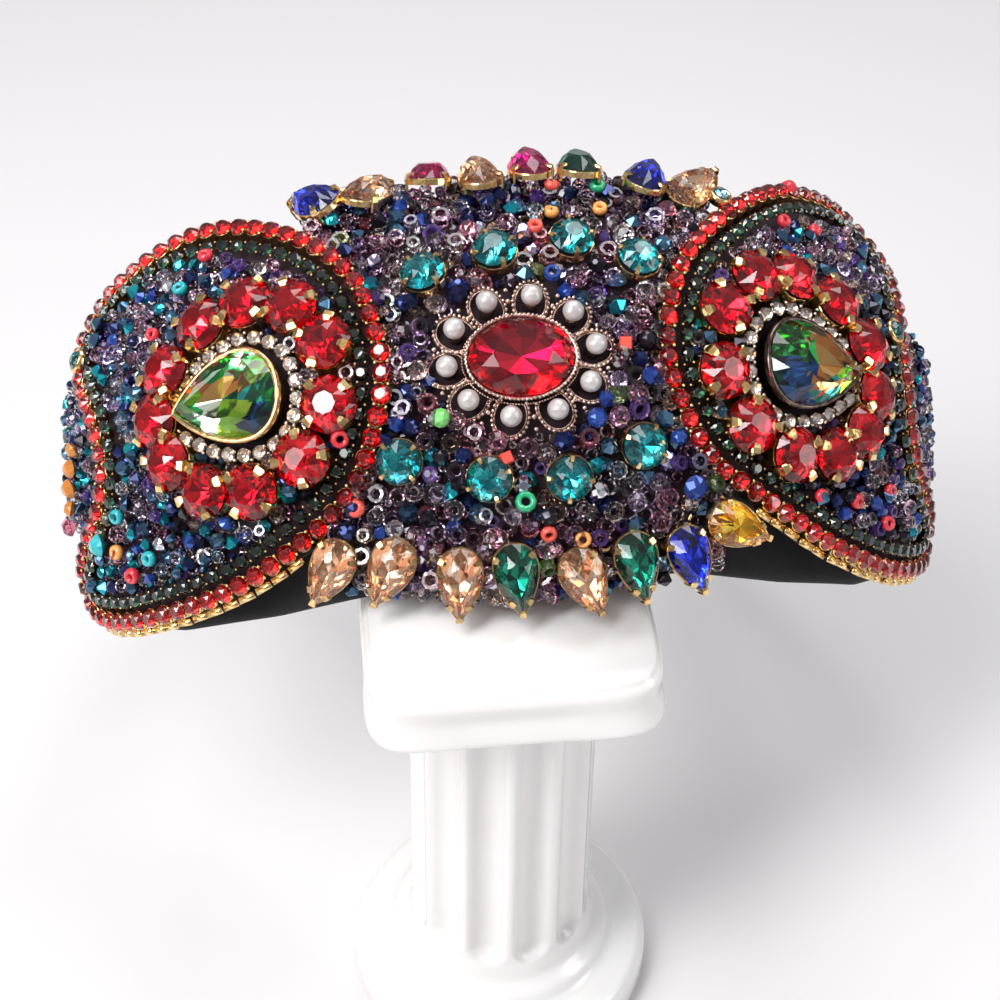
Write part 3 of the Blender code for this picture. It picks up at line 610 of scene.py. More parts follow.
GEM, FOIL = {}, {}
for key, (body, backs) in GEM_COLOURS.items():
    # the tables of the two long chains are polished brighter than the rest
    GEM[key] = glass("gem_" + key, [body], 1.0, 0.0, 1.64 if key in ("siam", "jet") else 1.56, 0.5 if key in ("siam", "jet") else 0.0)
    FOIL[key] = facet_foil("foil_" + key, backs)
GEM["vitrail"] = glass("gem_vitrail", [(0.90, 0.97, 0.90)], 1.0, 0.0, 1.58)
VITRAIL = (("green", ((0.01, 0.16, 0.05), (0.02, 0.42, 0.08), (0.05, 0.55, 0.14))),
           ("lime", ((0.25, 0.60, 0.02), (0.45, 0.90, 0.04), (0.70, 0.95, 0.10))),
           ("orange", ((0.60, 0.18, 0.04), (0.85, 0.34, 0.08), (0.95, 0.55, 0.20))),
           ("blue", ((0.00, 0.02, 0.10), (0.01, 0.07, 0.30), (0.01, 0.16, 0.48))),
           ("teal", ((0.00, 0.16, 0.20), (0.01, 0.36, 0.34), (0.04, 0.55, 0.46))),
           ("olive", ((0.22, 0.22, 0.02), (0.48, 0.42, 0.04), (0.70, 0.60, 0.08))),
           # the white patch is no coating: a painted glint on facets of the left pear
           ("white", ((0.80, 0.86, 0.74), (1.0, 1.0, 0.96), (0.95, 0.92, 0.70))))
VITRAIL_FOILS = tuple(facet_foil("foil_vitrail_" + name, backs, 0.06) for name, backs in VITRAIL)


def vitrail_patch(side, x, y):
    """which coating a facet of the big pears shows, or the painted glint of the white patch (7); x runs to the tip, y
    up
    """
    if side < 0:
        if x > 5.0:
            return 2 if y > 0 else 1
        if x > 1.5:
            # 7 is the white patch, a painted glint
            return 7 if y < 0.5 else (3 if y < 3.2 else 1)
        if x > -3.0:
            return 3 if 0 < y < 4 else (1 if y >= 4 else 2)
        return 7 if y > 2.5 else (5 if y > -1.5 else 4)
    if x > 5.0:
        return 3 if y > 0.5 else 2
    if x > -1.0:
        return 3 if y > -2.5 else 5
    return 1 if y > 0.5 else 4


GOLD = metal("bright_gold", (1.0, 0.74, 0.36), (0.85, 0.52, 0.20), 0.16)
BRASS = metal("worn_brass", (0.86, 0.60, 0.30), (0.55, 0.33, 0.13), 0.24)
ANTIQUE = metal("antique_gold", (1.0, 0.80, 0.70), (0.46, 0.30, 0.24), 0.22, 1400.0)
SILVER = metal("warm_silver", (0.96, 0.84, 0.70), (0.66, 0.52, 0.40), 0.18)
DARK_METAL = metal("dark_bezel", (0.20, 0.15, 0.13), (0.06, 0.045, 0.04), 0.22)

#          name         kind  transmission  shades
BEADS = {
    "lilac":   (1.00, 0.0, [(0.72, 0.52, 0.80), (0.86, 0.72, 0.92), (0.56, 0.38, 0.66), (0.92, 0.82, 0.94)]),
    "mauve":   (1.00, 0.0, [(0.78, 0.40, 0.54), (0.92, 0.62, 0.72), (0.62, 0.28, 0.42), (0.96, 0.78, 0.84)]),
    "violet":  (0.85, 0.0, [(0.20, 0.09, 0.46), (0.34, 0.20, 0.66), (0.14, 0.06, 0.30)]),
    "clear":   (1.00, 0.0, [(0.95, 0.90, 0.94), (0.90, 0.86, 0.90), (0.98, 0.92, 0.91)]),
    "smoke":   (1.00, 0.0, [(0.60, 0.50, 0.54), (0.76, 0.66, 0.68), (0.44, 0.36, 0.42)]),
    "champ":   (1.00, 0.0, [(0.90, 0.64, 0.50), (0.96, 0.80, 0.68), (0.76, 0.50, 0.42)]),
    "navy":    (0.00, 0.70, [(0.012, 0.018, 0.075), (0.022, 0.04, 0.17), (0.010, 0.012, 0.04)]),
    "cobalt":  (0.45, 0.35, [(0.02, 0.06, 0.38), (0.05, 0.14, 0.60), (0.015, 0.03, 0.20)]),
    "steel":   (0.00, 0.85, [(0.05, 0.12, 0.22), (0.11, 0.24, 0.38), (0.03, 0.06, 0.12)]),
    "tealab":  (0.20, 0.70, [(0.01, 0.26, 0.34), (0.02, 0.48, 0.56), (0.01, 0.12, 0.20)]),
    "black":   (0.00, 0.60, [(0.010, 0.009, 0.016), (0.03, 0.025, 0.035)]),
    "olive":   (0.90, 0.0, [(0.34, 0.46, 0.12), (0.56, 0.58, 0.18), (0.16, 0.32, 0.12)]),
    "rosy":    (0.95, 0.0, [(0.90, 0.40, 0.46), (0.80, 0.22, 0.32)]),
}
BEAD_MAT = {key: glass("bead_" + key, tints, trans, 0.05, 1.52, coat=0.12, metal=mirror)
            for key, (trans, mirror, tints) in BEADS.items()}
OPAQUE = {"coral": (0.80, 0.09, 0.06), "green": (0.02, 0.40, 0.18), "orange": (0.92, 0.40, 0.10), "lime": (0.20, 0.62, 0.16),
          "redbead": (0.70, 0.03, 0.05), "aquabead": (0.02, 0.45, 0.50), "ambered": (0.62, 0.22, 0.03)}
for key, c in OPAQUE.items():
    mat, nodes, links, bsdf = new_material("bead_" + key)
    put(bsdf, Roughness=0.22, Coat_Weight=0.6, Coat_Roughness=0.05, Subsurface_Weight=0.0)
    bump(nodes, links, bsdf, 700.0, 0.12, 0.0002)
    bsdf.inputs["Base Color"].default_value = (*c, 1)
    BEAD_MAT[key] = mat
# mirror coated beads, for the white flashes
mat, nodes, links, bsdf = new_material("bead_mirror")
put(bsdf, Metallic=1.0, Roughness=0.05)
island_colours(nodes, links, bsdf, [(0.55, 0.60, 0.75), (0.85, 0.85, 0.90), (0.45, 0.50, 0.70), (0.60, 0.45, 0.70)])
BEAD_MAT["mirror"] = mat


def felt_material():
    mat, nodes, links, bsdf = new_material("dark_felt")
    put(bsdf, Roughness=0.95, Sheen_Weight=0.04, Sheen_Roughness=0.5)
    tex, coord = bump(nodes, links, bsdf, 1200.0, 0.6, 0.0004, 6.0)
    ramp = nodes.new("ShaderNodeValToRGB")
    ramp.color_ramp.elements[0].color, ramp.color_ramp.elements[1].color = (0.010, 0.005, 0.008, 1), (0.040, 0.018, 0.026, 1)
    links.new(tex.outputs[0], ramp.inputs["Fac"])
    links.new(ramp.outputs["Color"], bsdf.inputs["Base Color"])
    return mat


def velvet_material():
    mat, nodes, links, bsdf = new_material("black_velvet")
    put(bsdf, Roughness=0.88, Sheen_Weight=0.06, Sheen_Roughness=0.35)
    bsdf.inputs["Sheen Tint"].default_value = (0.55, 0.58, 0.62, 1)
    tex, coord = bump(nodes, links, bsdf, 2600.0, 0.5, 0.0003, 8.0)
    large = nodes.new("ShaderNodeTexNoise")
    large.inputs["Scale"].default_value = 60.0
    large.inputs["Detail"].default_value = 5.0
    links.new(coord.outputs["Object"], large.inputs["Vector"])
    ramp = nodes.new("ShaderNodeValToRGB")
    ramp.color_ramp.elements[0].position, ramp.color_ramp.elements[1].position = 0.3, 0.75
    ramp.color_ramp.elements[0].color, ramp.color_ramp.elements[1].color = (0.003, 0.003, 0.004, 1), (0.013, 0.013, 0.015, 1)
    links.new(large.outputs[0], ramp.inputs["Fac"])
    links.new(ramp.outputs["Color"], bsdf.inputs["Base Color"])
    return mat


def glaze_material():
    mat, nodes, links, bsdf = new_material("white_glaze")
    put(bsdf, Roughness=0.22, Coat_Weight=0.5, Coat_Roughness=0.08, Subsurface_Weight=0.05)
    tex, coord = bump(nodes, links, bsdf, 45.0, 0.05, 0.0010, 2.0)
    ramp = nodes.new("ShaderNodeValToRGB")
    ramp.color_ramp.elements[0].color, ramp.color_ramp.elements[1].color = (0.86, 0.835, 0.825, 1), (0.89, 0.872, 0.865, 1)
    ramp.color_ramp.elements[0].position, ramp.color_ramp.elements[1].position = 0.25, 0.6
    links.new(tex.outputs[0], ramp.inputs["Fac"])
    links.new(ramp.outputs["Color"], bsdf.inputs["Base Color"])
    return mat


def pearl_material():
    mat, nodes, links, bsdf = new_material("pearl")
    put(bsdf, Roughness=0.34, Metallic=0.25, Coat_Weight=1.0, Coat_Roughness=0.06, Subsurface_Weight=0.1)
    tex, coord = bump(nodes, links, bsdf, 420.0, 0.55, 0.0008, 3.0)
    ramp = nodes.new("ShaderNodeValToRGB")
    ramp.color_ramp.elements[0].color, ramp.color_ramp.elements[1].color = (0.46, 0.38, 0.37, 1), (0.76, 0.70, 0.68, 1)
    links.new(tex.outputs[0], ramp.inputs["Fac"])
    links.new(ramp.outputs["Color"], bsdf.inputs["Base Color"])
    return mat


FELT, VELVET, GLAZE, PEARL = felt_material(), velvet_material(), glaze_material(), pearl_material()


# ---------------------------------------------------------------- padded band, panels, column
def loft(sections, closed_run):
    verts = np.concatenate([np.asarray(s, float) for s in sections])
    n, m = len(sections[0]), len(sections)
    faces = []
    for k in range(m if closed_run else m - 1):
        a, b = k * n, ((k + 1) % m) * n
        for i in range(n):
            j = (i + 1) % n
            faces.append((a + i, a + j, b + j, b + i))
    if not closed_run:
        faces.append(tuple(range(n)))
        faces.append(tuple(range((m - 1) * n, m * n)))
    return verts, faces


def core_section(s, shrink):
    at = [row[1] for row in CORE_ROWS]
    w_low, w_high, in_low, in_high = (float(np.interp(abs(s), at, [row[k] for row in CORE_ROWS])) for k in (2, 3, 4, 5))
    # stuffing: along the legs the band swells across its width, with shallow dents along them
    swell = 0.35 * math.sin(s * 0.21) + 0.25 * math.sin(s * 0.47 + 1.0)
    w = np.linspace(w_low + 1.6, w_high - 1.0, 25)
    across = (w - w_low) / (w_high - w_low)
    legs = np.clip((abs(s) - 106) / 14, 0, 1)
    puff = -5.1 + legs * (swell + 0.8 * np.sin(math.pi * across))
    outer = lifted(s, w, puff)
    k = np.linspace(1.0, 0.0, 17)
    w_in = w_low + 2.0 + (w_high - 3.4 - w_low - 2.0) * k
    inner = in_plane(s, w_in, in_low + (in_high - in_low) * k + 0.25 * np.sin(s * 0.33 + 5 * k))
    up = in_plane(s, 1, 0) - in_plane(s, 0, 0)
    a = np.linspace(0, math.pi, 7)[1:-1]

    def rounded(p, q, way, bulge):
        mid, half = (p + q) / 2, (p - q) / 2
        return np.stack([mid + half * math.cos(t) + way * bulge * math.sin(t) for t in a])

    section = np.concatenate([outer, rounded(outer[-1], inner[0], up, 1.6), inner, rounded(inner[-1], outer[0], -up, 2.2)])
    middle = section.mean(0)
    return middle + (section - middle) * shrink


ends = [(-HALF_LENGTH + 6.5 * (1 - math.cos(t)), 0.30 + 0.70 * math.sin(t)) for t in np.linspace(0, math.pi / 2, 8)]
runs = ends + [(s, 1.0) for s in np.linspace(-HALF_LENGTH + 8.5, HALF_LENGTH - 8.5, 150)] + [(-s, k) for s, k in reversed(ends)]
band = Batch().add_raw(*loft([core_section(s, k) for s, k in runs], False)).build(
    "velvet_band", VELVET, "velvet", True, ["band_core"])


def slab(loop, centre, foot, top, rings=12, edge_round=0.4):
    loop, centre = np.array(loop), np.array(centre)
    n = len(loop)
    verts, faces = [], []
    scales = [1.0 - k / rings for k in range(rings)]
    for level, lift in ((0, foot), (1, top)):
        for k, scale in enumerate(scales):
            p = centre + (loop - centre) * scale
            drop = edge_round * (1 if k == 0 else 0) * (1 if level else -1)
            verts.append(lifted(p[:, 0], p[:, 1], np.full(n, lift - drop)))
        verts.append(lifted(centre[0], centre[1], lift)[None])
    half = n * rings + 1
    for level in (0, 1):
        base = level * half
        for r in range(rings - 1):
            for i in range(n):
                j = (i + 1) % n
                faces.append((base + r * n + i, base + r * n + j, base + (r + 1) * n + j, base + (r + 1) * n + i))
        for i in range(n):
            faces.append((base + (rings - 1) * n + i, base + (rings - 1) * n + (i + 1) % n, base + rings * n))
    for i in range(n):
        j = (i + 1) % n
        faces.append((i, j, half + j, half + i))
    return np.concatenate(verts), faces


right_half = [(row[1], row[2]) for row in CENTER_EDGE]
center_loop = smooth_loop(right_half + [(-s, w) for s, w in reversed(right_half[1:-1])], 160)
felt = Batch().add_raw(*slab(center_loop, (0.0, 0.5), PANEL_FOOT, -1.0)).build(
    "center_felt", FELT, "bead_field", True, ["center_panel"])


# flutes with round ends, and a capital whose corners roll like a cushion
def column_mesh():
    count = 144
    rows = []
    z_rows = [(row[1], row[2], row[3], row[4]) for row in COLUMN_ROWS]
    zs = np.array([r[0] for r in z_rows])
    fine = []
    for z in np.concatenate([np.linspace(0, 1.2, 4), np.linspace(1.2, 6.6, 5)[1:], np.linspace(6.6, 9.4, 8)[1:],
                             np.linspace(9.4, 18, 14)[1:], np.linspace(18, 23, 10)[1:], np.linspace(23, 80, 14)[1:],
                             np.linspace(80, 89.8, 16)[1:], np.linspace(89.8, 103.4, 22)[1:]]):
        fine.append(z)
    def smooth_radius(z):
        acc = 0.0
        weights = 0.0
        for d in (-0.5, -0.25, 0.0, 0.25, 0.5):
            acc += np.interp(np.clip(z + d, 0, zs[-1]), zs, [r[1] for r in z_rows])
            weights += 1
        return acc / weights
    sections = []
    a = 2 * math.pi * np.arange(count) / count
    for z in fine:
        r0 = smooth_radius(z)
        # a flute: round channel whose ends are half circles
        phase = ((a * 12 / (2 * math.pi)) % 1.0) - 0.5
        across = np.abs(phase) * (2 * math.pi * 17.8 / 12)          # mm from the channel's middle line
        half_w = 3.5
        end = 0.0
        if z < 21.5:
            end = 21.5 - z
        elif z > 83.0:
            end = z - 83.0
        reach = half_w ** 2 - across ** 2 - end ** 2
        depth = np.where(reach > 0, np.sqrt(np.maximum(reach, 0)) * 0.75, 0.0) if 17.0 < z < 87.0 else np.zeros(count)
        r = r0 - depth
        square = np.clip((z - 87.8) / 2.0, 0, 1)
        if square > 0:
            c, n = np.abs(np.cos(a)), np.abs(np.sin(a))
            box = r0 / (c ** 7 + n ** 7) ** (1 / 7)
            # rolls at the lower corners stand a little prouder than the sides
            corner = np.clip((np.abs(np.sin(2 * a)) - 0.55) / 0.45, 0, 1)
            low = np.exp(-((z - 92.4) / 2.4) ** 2)
            box = box + corner * low * 0.7 - (1 - corner) * np.exp(-((z - 96.8) / 2.6) ** 2) * 0.5
            r = r * (1 - square) + box * square
        sections.append(np.stack([r * np.cos(a), r * np.sin(a), np.full(count, z)], 1))
    return loft(sections, False)


Batch().add_raw(*column_mesh()).build("fluted_column", GLAZE, "white_glaze", True, ["display_column"])
wedge = frame["nodes"]["rest_wedge"]
wedge.data.materials.clear()
wedge.data.materials.append(GLAZE)
wedge.modifiers.new("joined_corners", "WELD").merge_threshold = 0.01 * MM
rounded_edges = wedge.modifiers.new("rounded_edges", "BEVEL")
rounded_edges.width, rounded_edges.segments = 1.8 * MM, 4


# ---------------------------------------------------------------- helpers for stones that follow the skin
def split(template):
    """every facet gets its own vertices, so each takes its own shade, which paints light and dark on the facets"""
    verts, faces = template
    out_v, out_f = [], []
    for f in faces:
        out_f.append(tuple(range(len(out_v), len(out_v) + len(f))))
        out_v += [verts[i] for i in f]
    return np.array(out_v), out_f


def from_pear(x, y, side):
    c, k = math.cos(PEAR_TURN), math.sin(PEAR_TURN)
    return side * PEAR_S[side] + side * (x * c - y * k), PEAR_W + x * k + y * c


def wrap(template, where, lift):
    """template's x, y go through where() to (s, w); z adds to the lift"""
    verts, rest = template[0], tuple(template[1:])
    s, w = where(verts[:, 0], verts[:, 1])
    return (on_skin(s, w) + skin_frames(s, w)[2] * (lift + verts[:, 2])[:, None],) + rest


def jitter(basis, amount):
    n = len(basis)
    a = rng.normal(size=(n, 3)) * amount
    turn = np.zeros((n, 3, 3))
    for k in range(n):
        turn[k] = np.array(Matrix.Rotation(a[k, 0], 3, "X") @ Matrix.Rotation(a[k, 1], 3, "Y") @ Matrix.Rotation(a[k, 2], 3, "Z"))
    return basis @ turn


def along_loop(loop, pitch):
    """places and directions at an even pitch on the real surface"""
    s, w = loop[:, 0], loop[:, 1]
    p = lifted(s, w, np.full(len(s), 3.0))
    run = np.concatenate([[0], np.cumsum(np.linalg.norm(np.roll(p, -1, 0) - p, axis=1))])
    count = max(int(round(run[-1] / pitch)), 3)
    at = (np.arange(count) + 0.5) * run[-1] / count
    cs, cw = np.append(s, s[0]), np.append(w, w[0])
    here = np.stack([np.interp(at, run, cs), np.interp(at, run, cw)], 1)
    ahead = np.stack([np.interp((at + 0.3) % run[-1], run, cs), np.interp((at + 0.3) % run[-1], run, cw)], 1)
    d = ahead - here
    return here, np.arctan2(d[:, 0], d[:, 1]), run[-1] / count


def offset_points(centres, basis, x, y, z):
    return centres + basis[:, :, 0] * x + basis[:, :, 1] * y + basis[:, :, 2] * z


GRAIN, BALL = grain(), sphere(12, 8)
FOOT = (np.array([(x, y, z) for z in (-0.25, 0.25) for x, y in ((-1.7, -0.6), (1.7, -0.6), (1.6, 0.6), (-1.6, 0.6))]),
        [(0, 1, 2, 3), (4, 5, 6, 7), (0, 1, 5, 4), (1, 2, 6, 5), (2, 3, 7, 6), (3, 0, 4, 7)])
IDENT = np.eye(3)[None]


def turned_about_out(basis, angle):
    c, k = math.cos(angle), math.sin(angle)
    x, y = basis[:, :, 0] * c + basis[:, :, 1] * k, -basis[:, :, 0] * k + basis[:, :, 1] * c
    return np.stack([x, y, basis[:, :, 2]], -1)


def chain(word, name, loop, pitch, radius, girdle, gem, foil, cup_low, dot, node, slot, metal_mat, under=None):
    here, turn, step = along_loop(loop, pitch)
    if under is not None:                        # the ring stones cover this stretch of the chain
        clear_of = np.array([np.min(np.hypot(*(under - p).T)) > 4.3 for p in here])
        here, turn = here[clear_of], turn[clear_of]
    basis = jitter(basis_at(here[:, 0], here[:, 1], turn), 0.035)
    centre = lifted(here[:, 0], here[:, 1], np.full(len(here), girdle))
    outline = ellipse_outline(2 * radius, 2 * radius, 12)
    Batch().add(backed_gem(outline, radius * 0.62, radius * 0.75, 0.55), centre, basis).build(
        word + "_" + name + "_stones", (gem, foil), slot, False, [node], fix=False)
    cups = Batch()
    if cup_low is not None:
        cups.add(wall(ellipse_outline(2 * radius + 0.04, 2 * radius + 0.04, 12), cup_low - girdle, -0.28, 0.07), centre, basis)
        # along the bottom edge the cups' flat feet show as short bars
        low = (here[:, 1] < -17.0) & (np.abs(here[:, 0]) > 42.0) if name == "red" else np.zeros(len(here), bool)
        if low.any():
            sign = np.where(np.sum(basis[low][:, :, 1] * (lifted(here[low, 0], here[low, 1] - 1.0, np.full(low.sum(), girdle))
                                                          - centre[low]), -1) > 0, 1.0, -1.0)
            feet = centre[low] + basis[low][:, :, 1] * (sign * (radius + 0.75))[:, None] - basis[low][:, :, 2] * 1.1
            cups.add(FOOT, feet, basis[low])
    for sign in (-1, 1):
        cups.add(BALL if dot > 0.3 else GRAIN, offset_points(centre, basis, step / 2, sign * radius * 0.62, 0.18), basis,
                 dot)
    cups.build(word + "_" + name + "_settings", metal_mat, "gold", True)
    return here


# ---------------------------------------------------------------- side panels
CLAW_WIDE = claw(2.0, 3.3, 1.5, 0.30)
RING_ANGLES = {-1: (89.8, 56.7, 26.6, -8.0, -44.0, -84.3, -117.3, -146.7, -172.3, 159.3, 123.1),
               1: (112.5, 81.1, 45.1, 12.5, -17.0, -42.0, -70.0, -103.0, -141.5, -178.0, 146.1)}
ring_spots = {}
for side, word in ((-1, "left"), (1, "right")):
    edge = panel_edge(side)
    loop = smooth_loop(edge, 200)
    outline = shifted_loop(loop, 1.7)
    pad = Batch().add_raw(*slab(outline, (side * 56.0, -0.5), PANEL_FOOT, -0.5)).build(
        word + "_side_felt", FELT, "bead_field", True, [word + "_side_panel"])
    chain(word, "red", loop, 3.75, 1.72, SIDE_TOP + 0.35 + 1.6, GEM["siam"], FOIL["siam"], -0.5, 0.31,
          word + "_red_chain", "ruby_chain", GOLD)
    inner = smooth_loop([tuple(p) for p in shifted_loop(smooth_loop(edge, 92), -3.5)[::4]], 200)
    chain(word, "dark", inner, 3.5, 1.42, SIDE_TOP + 0.35 + 1.3, GEM["jet"], FOIL["jet"], None, 0.26,
          word + "_dark_chain", "dark_chain", BRASS)
    # ring of round red stones, four flat claws each
    spots = []
    for deg in RING_ANGLES[side]:
        # direction measured from the ring's middle, ds towards +s; the ellipse is mirrored on the left
        dx, dy = side * math.cos(math.radians(deg)), math.sin(math.radians(deg))
        x = dx * math.cos(RING_TURN) + dy * math.sin(RING_TURN)
        y = -dx * math.sin(RING_TURN) + dy * math.cos(RING_TURN)
        r = 1.0 / math.hypot(x / RING_ALONG, y / RING_ACROSS)
        s, w = side * (RING_S + r * dx), RING_W + r * dy
        spots.append((s, w, math.atan2(s - side * RING_S, w - RING_W)))
    spots = np.array(spots)
    ring_spots[side] = spots
    basis = jitter(basis_at(spots[:, 0], spots[:, 1], spots[:, 2]), 0.05)
    girdle = SIDE_TOP + 0.35 + 2.5
    centre = lifted(spots[:, 0], spots[:, 1], np.full(len(spots), girdle))
    round_line = ellipse_outline(10.1, 10.1, 16)
    Batch().add(backed_gem(round_line, 2.5, 2.4, 0.40, 0.74), centre, basis).build(
        word + "_ring_stones", (GEM["ruby"], FOIL["ruby"]), "ruby", False, [word + "_stone_ring"], fix=False)
    settings = Batch()
    settings.add(wall(ellipse_outline(9.8, 9.8, 16), -0.5 - girdle, -0.7, 0.14), centre, basis)
    for k in range(4):
        b = turned_about_out(basis, math.pi / 4 + k * math.pi / 2)
        settings.add(CLAW_WIDE, offset_points(centre, b, 4.95, 0, -2.2), b)
    settings.build(word + "_ring_settings", GOLD, "gold", False)

    route = shifted_loop(pear_outline(PEAR_LENGTH + 0.6, PEAR_WIDTH + 0.4, 88), 0.35 + 0.8 + 0.35 + 1.15)
    route = smooth_loop([tuple(p) for p in route[4::8]], 160)
    rs, rw = from_pear(route[:, 0], route[:, 1], side)
    chain(word, "clear", np.stack([rs, rw], 1), 3.2, 1.22, SIDE_TOP + 0.35 + 1.5, GEM["clear"], FOIL["clear"], -0.5, 0.34,
          word + "_clear_chain", "clear_chain", SILVER, spots[:, :2])

    # pear and bezel, shaped to the skin
    floor_lift = SIDE_TOP + 0.35
    pear_line = pear_outline(PEAR_LENGTH, PEAR_WIDTH, 24)
    gem_lift = floor_lift + 0.5 + 3.0
    where = lambda x, y, side=side: from_pear(x, y, side)
    verts, faces, mats = backed_gem(pear_line, 3.6, 2.9, 0.52, 0.80, side < 0)
    mats = [m if m == 0 else vitrail_patch(side, *verts[list(f)].mean(0)[:2]) for f, m in zip(faces, mats)]
    Batch().add_raw(*wrap((verts, faces, mats), where, gem_lift)).build(
        word + "_pear_glass", (GEM["vitrail"],) + VITRAIL_FOILS, "vitrail", False, [word + "_pear_stone"], fix=False)
    rim = Batch().add_raw(*wrap(wall(shifted_loop(pear_outline(PEAR_LENGTH, PEAR_WIDTH, 72), 0.12), 0.0, 3.5, 0.55, 0.2), where, floor_lift))
    rim.build(word + "_pear_rim", GOLD if side < 0 else DARK_METAL, "gold", True, [word + "_pear_bezel"])

    # end panel
    shift = END_PANEL_RIGHT_SHIFT if side > 0 else 0.0
    low = [(side * (row[1] + shift), row[2]) for row in END_PANEL]
    high = [(side * (row[1] + shift), row[3]) for row in END_PANEL]
    end_loop = smooth_loop(low + high[::-1], 80)
    pad = Batch().add_raw(*slab(end_loop, (side * (105.0 + shift), -6.0), PANEL_FOOT, -1.1)).build(
        word + "_end_felt", FELT, "bead_field", True, [word + "_end_panel"])

# ---------------------------------------------------------------- oval stone, filigree and pearls
floor_lift = CENTER_TOP + 0.35
oval_line = ellipse_outline(18.0, 13.0, 20)
oval_where = lambda x, y: (OVAL_S + x, OVAL_W + y)
Batch().add_raw(*wrap(backed_gem(oval_line, 2.8, 2.0, 0.54, 0.80), oval_where, floor_lift + 2.2)).build(
    "oval_glass", (GEM["oval"], FOIL["oval"]), "ruby", False, ["oval_stone"], fix=False)


def beaded(path, lift, radius, spacing, closed=False):
    """beaded wire: a row of grains along a path in (s, w)"""
    path = np.array(path)
    if closed:
        path = np.vstack([path, path[:1]])
    run = np.concatenate([[0], np.cumsum(np.hypot(*np.diff(path, axis=0).T))])
    at = np.linspace(0, run[-1], max(int(run[-1] / spacing), 2), endpoint=not closed)
    s, w = np.interp(at, run, path[:, 0]), np.interp(at, run, path[:, 1])
    return lifted(s, w, np.full(len(s), lift)), skin_frames(s, w)[2]


work = Batch()
work.add_raw(*wrap(wall(shifted_loop(ellipse_outline(18.0, 13.0, 72), 0.2), -1.0, 2.3, 0.35, 0.1), oval_where, floor_lift))
for grow, lift, size in ((0.45, 2.25, 0.34), (1.1, 0.3, 0.24)):
    ring = shifted_loop(ellipse_outline(18.0, 13.0, 120), grow) + np.array([OVAL_S, OVAL_W])
    p, _ = beaded(ring, floor_lift + lift, size, size * 2.05, True)
    work.add(GRAIN, p, np.repeat(IDENT, len(p), 0), size)
pearl_at = []
for k in range(10):
    angle = 2 * math.pi * k / 10 + PEARL_PHASE
    ps, pw = OVAL_S + PEARL_ELLIPSE[0] * math.cos(angle), OVAL_W + PEARL_ELLIPSE[1] * math.sin(angle)
    pearl_at.append((ps, pw))
    out_dir = math.atan2(pw - OVAL_W, ps - OVAL_S)
    for radius, lift, size, gap in ((3.42, 0.25, 0.24, 1.6), (3.45, 0.80, 0.36, 2.15), (3.02, 0.50, 0.20, 1.7)):
        t = np.linspace(-math.radians(142), math.radians(142), 60)
        shape = radius * (1 + 0.10 * np.cos(2 * t))
        path = [(ps + r * math.cos(out_dir + a), pw + r * math.sin(out_dir + a)) for a, r in zip(t, shape)]
        p, _ = beaded(path, floor_lift + lift, size, size * gap)
        work.add(GRAIN, p, np.repeat(IDENT, len(p), 0), size)
    # granule where two loops meet
    mid = angle + math.pi / 10
    js, jw = OVAL_S + 12.7 * math.cos(mid), OVAL_W + 9.9 * math.sin(mid)
    work.add(BALL, lifted(np.array([js]), np.array([jw]), np.array([floor_lift + 0.8])), IDENT, 0.50)
    js, jw = OVAL_S + 15.0 * math.cos(mid), OVAL_W + 12.0 * math.sin(mid)
    work.add(BALL, lifted(np.array([js]), np.array([jw]), np.array([floor_lift + 0.7])), IDENT, 0.45)
    # cup below the pearl
    work.add(wall(ellipse_outline(2.2, 2.2, 12), -1.4, 1.9, 0.25), lifted(np.array([ps]), np.array([pw]), np.array([floor_lift])),
             basis_at(np.array([ps]), np.array([pw])))
work.build("oval_filigree", ANTIQUE, "antique_gold", True, ["oval_setting"])

for k, (ps, pw) in enumerate(pearl_at):
    verts, faces = sphere(28, 18)
    wobble = 1 + 0.012 * np.sin(verts[:, 0] * 7 + k) * np.cos(verts[:, 1] * 6 - k) + 0.01 * np.sin(verts[:, 2] * 9 + 2 * k)
    ball = Batch().add((verts * wobble[:, None] * 1.85, faces), lifted(np.array([ps]), np.array([pw]),
                       np.array([floor_lift + 3.3])), basis_at(np.array([ps]), np.array([pw])))
    ball.build("mounted_pearl_%02d" % (k + 1), PEARL, "pearl", True, ["pearl_%02d" % (k + 1)])

# ---------------------------------------------------------------- teal stones
settings = Batch()
for k, (name, s, w) in enumerate(TEAL_ROWS):
    s, w = np.array([s]), np.array([w])
    basis = jitter(basis_at(s, w, np.array([0.4 * k])), 0.05)
    centre = lifted(s, w, np.array([CENTER_TOP + 0.45 + 2.7]))
    line = ellipse_outline(7.8, 7.8, 16)
    Batch().add(backed_gem(line, 1.9, 2.3, 0.42, 0.74), centre, basis).build(
        "cut_" + name, (GEM["teal"], FOIL["teal"]), "teal", False, [name], fix=False)
    settings.add(wall(ellipse_outline(7.9, 7.9, 16), -2.4, -0.9, 0.2), centre, basis)
    for q in range(4):
        b = turned_about_out(basis, math.pi / 4 + q * math.pi / 2)
        settings.add(claw(0.9, 2.5, 0.8, 0.28), offset_points(centre, b, 3.95, 0, -2.0), b)
settings.build("teal_settings", BRASS, "antique_gold", False)

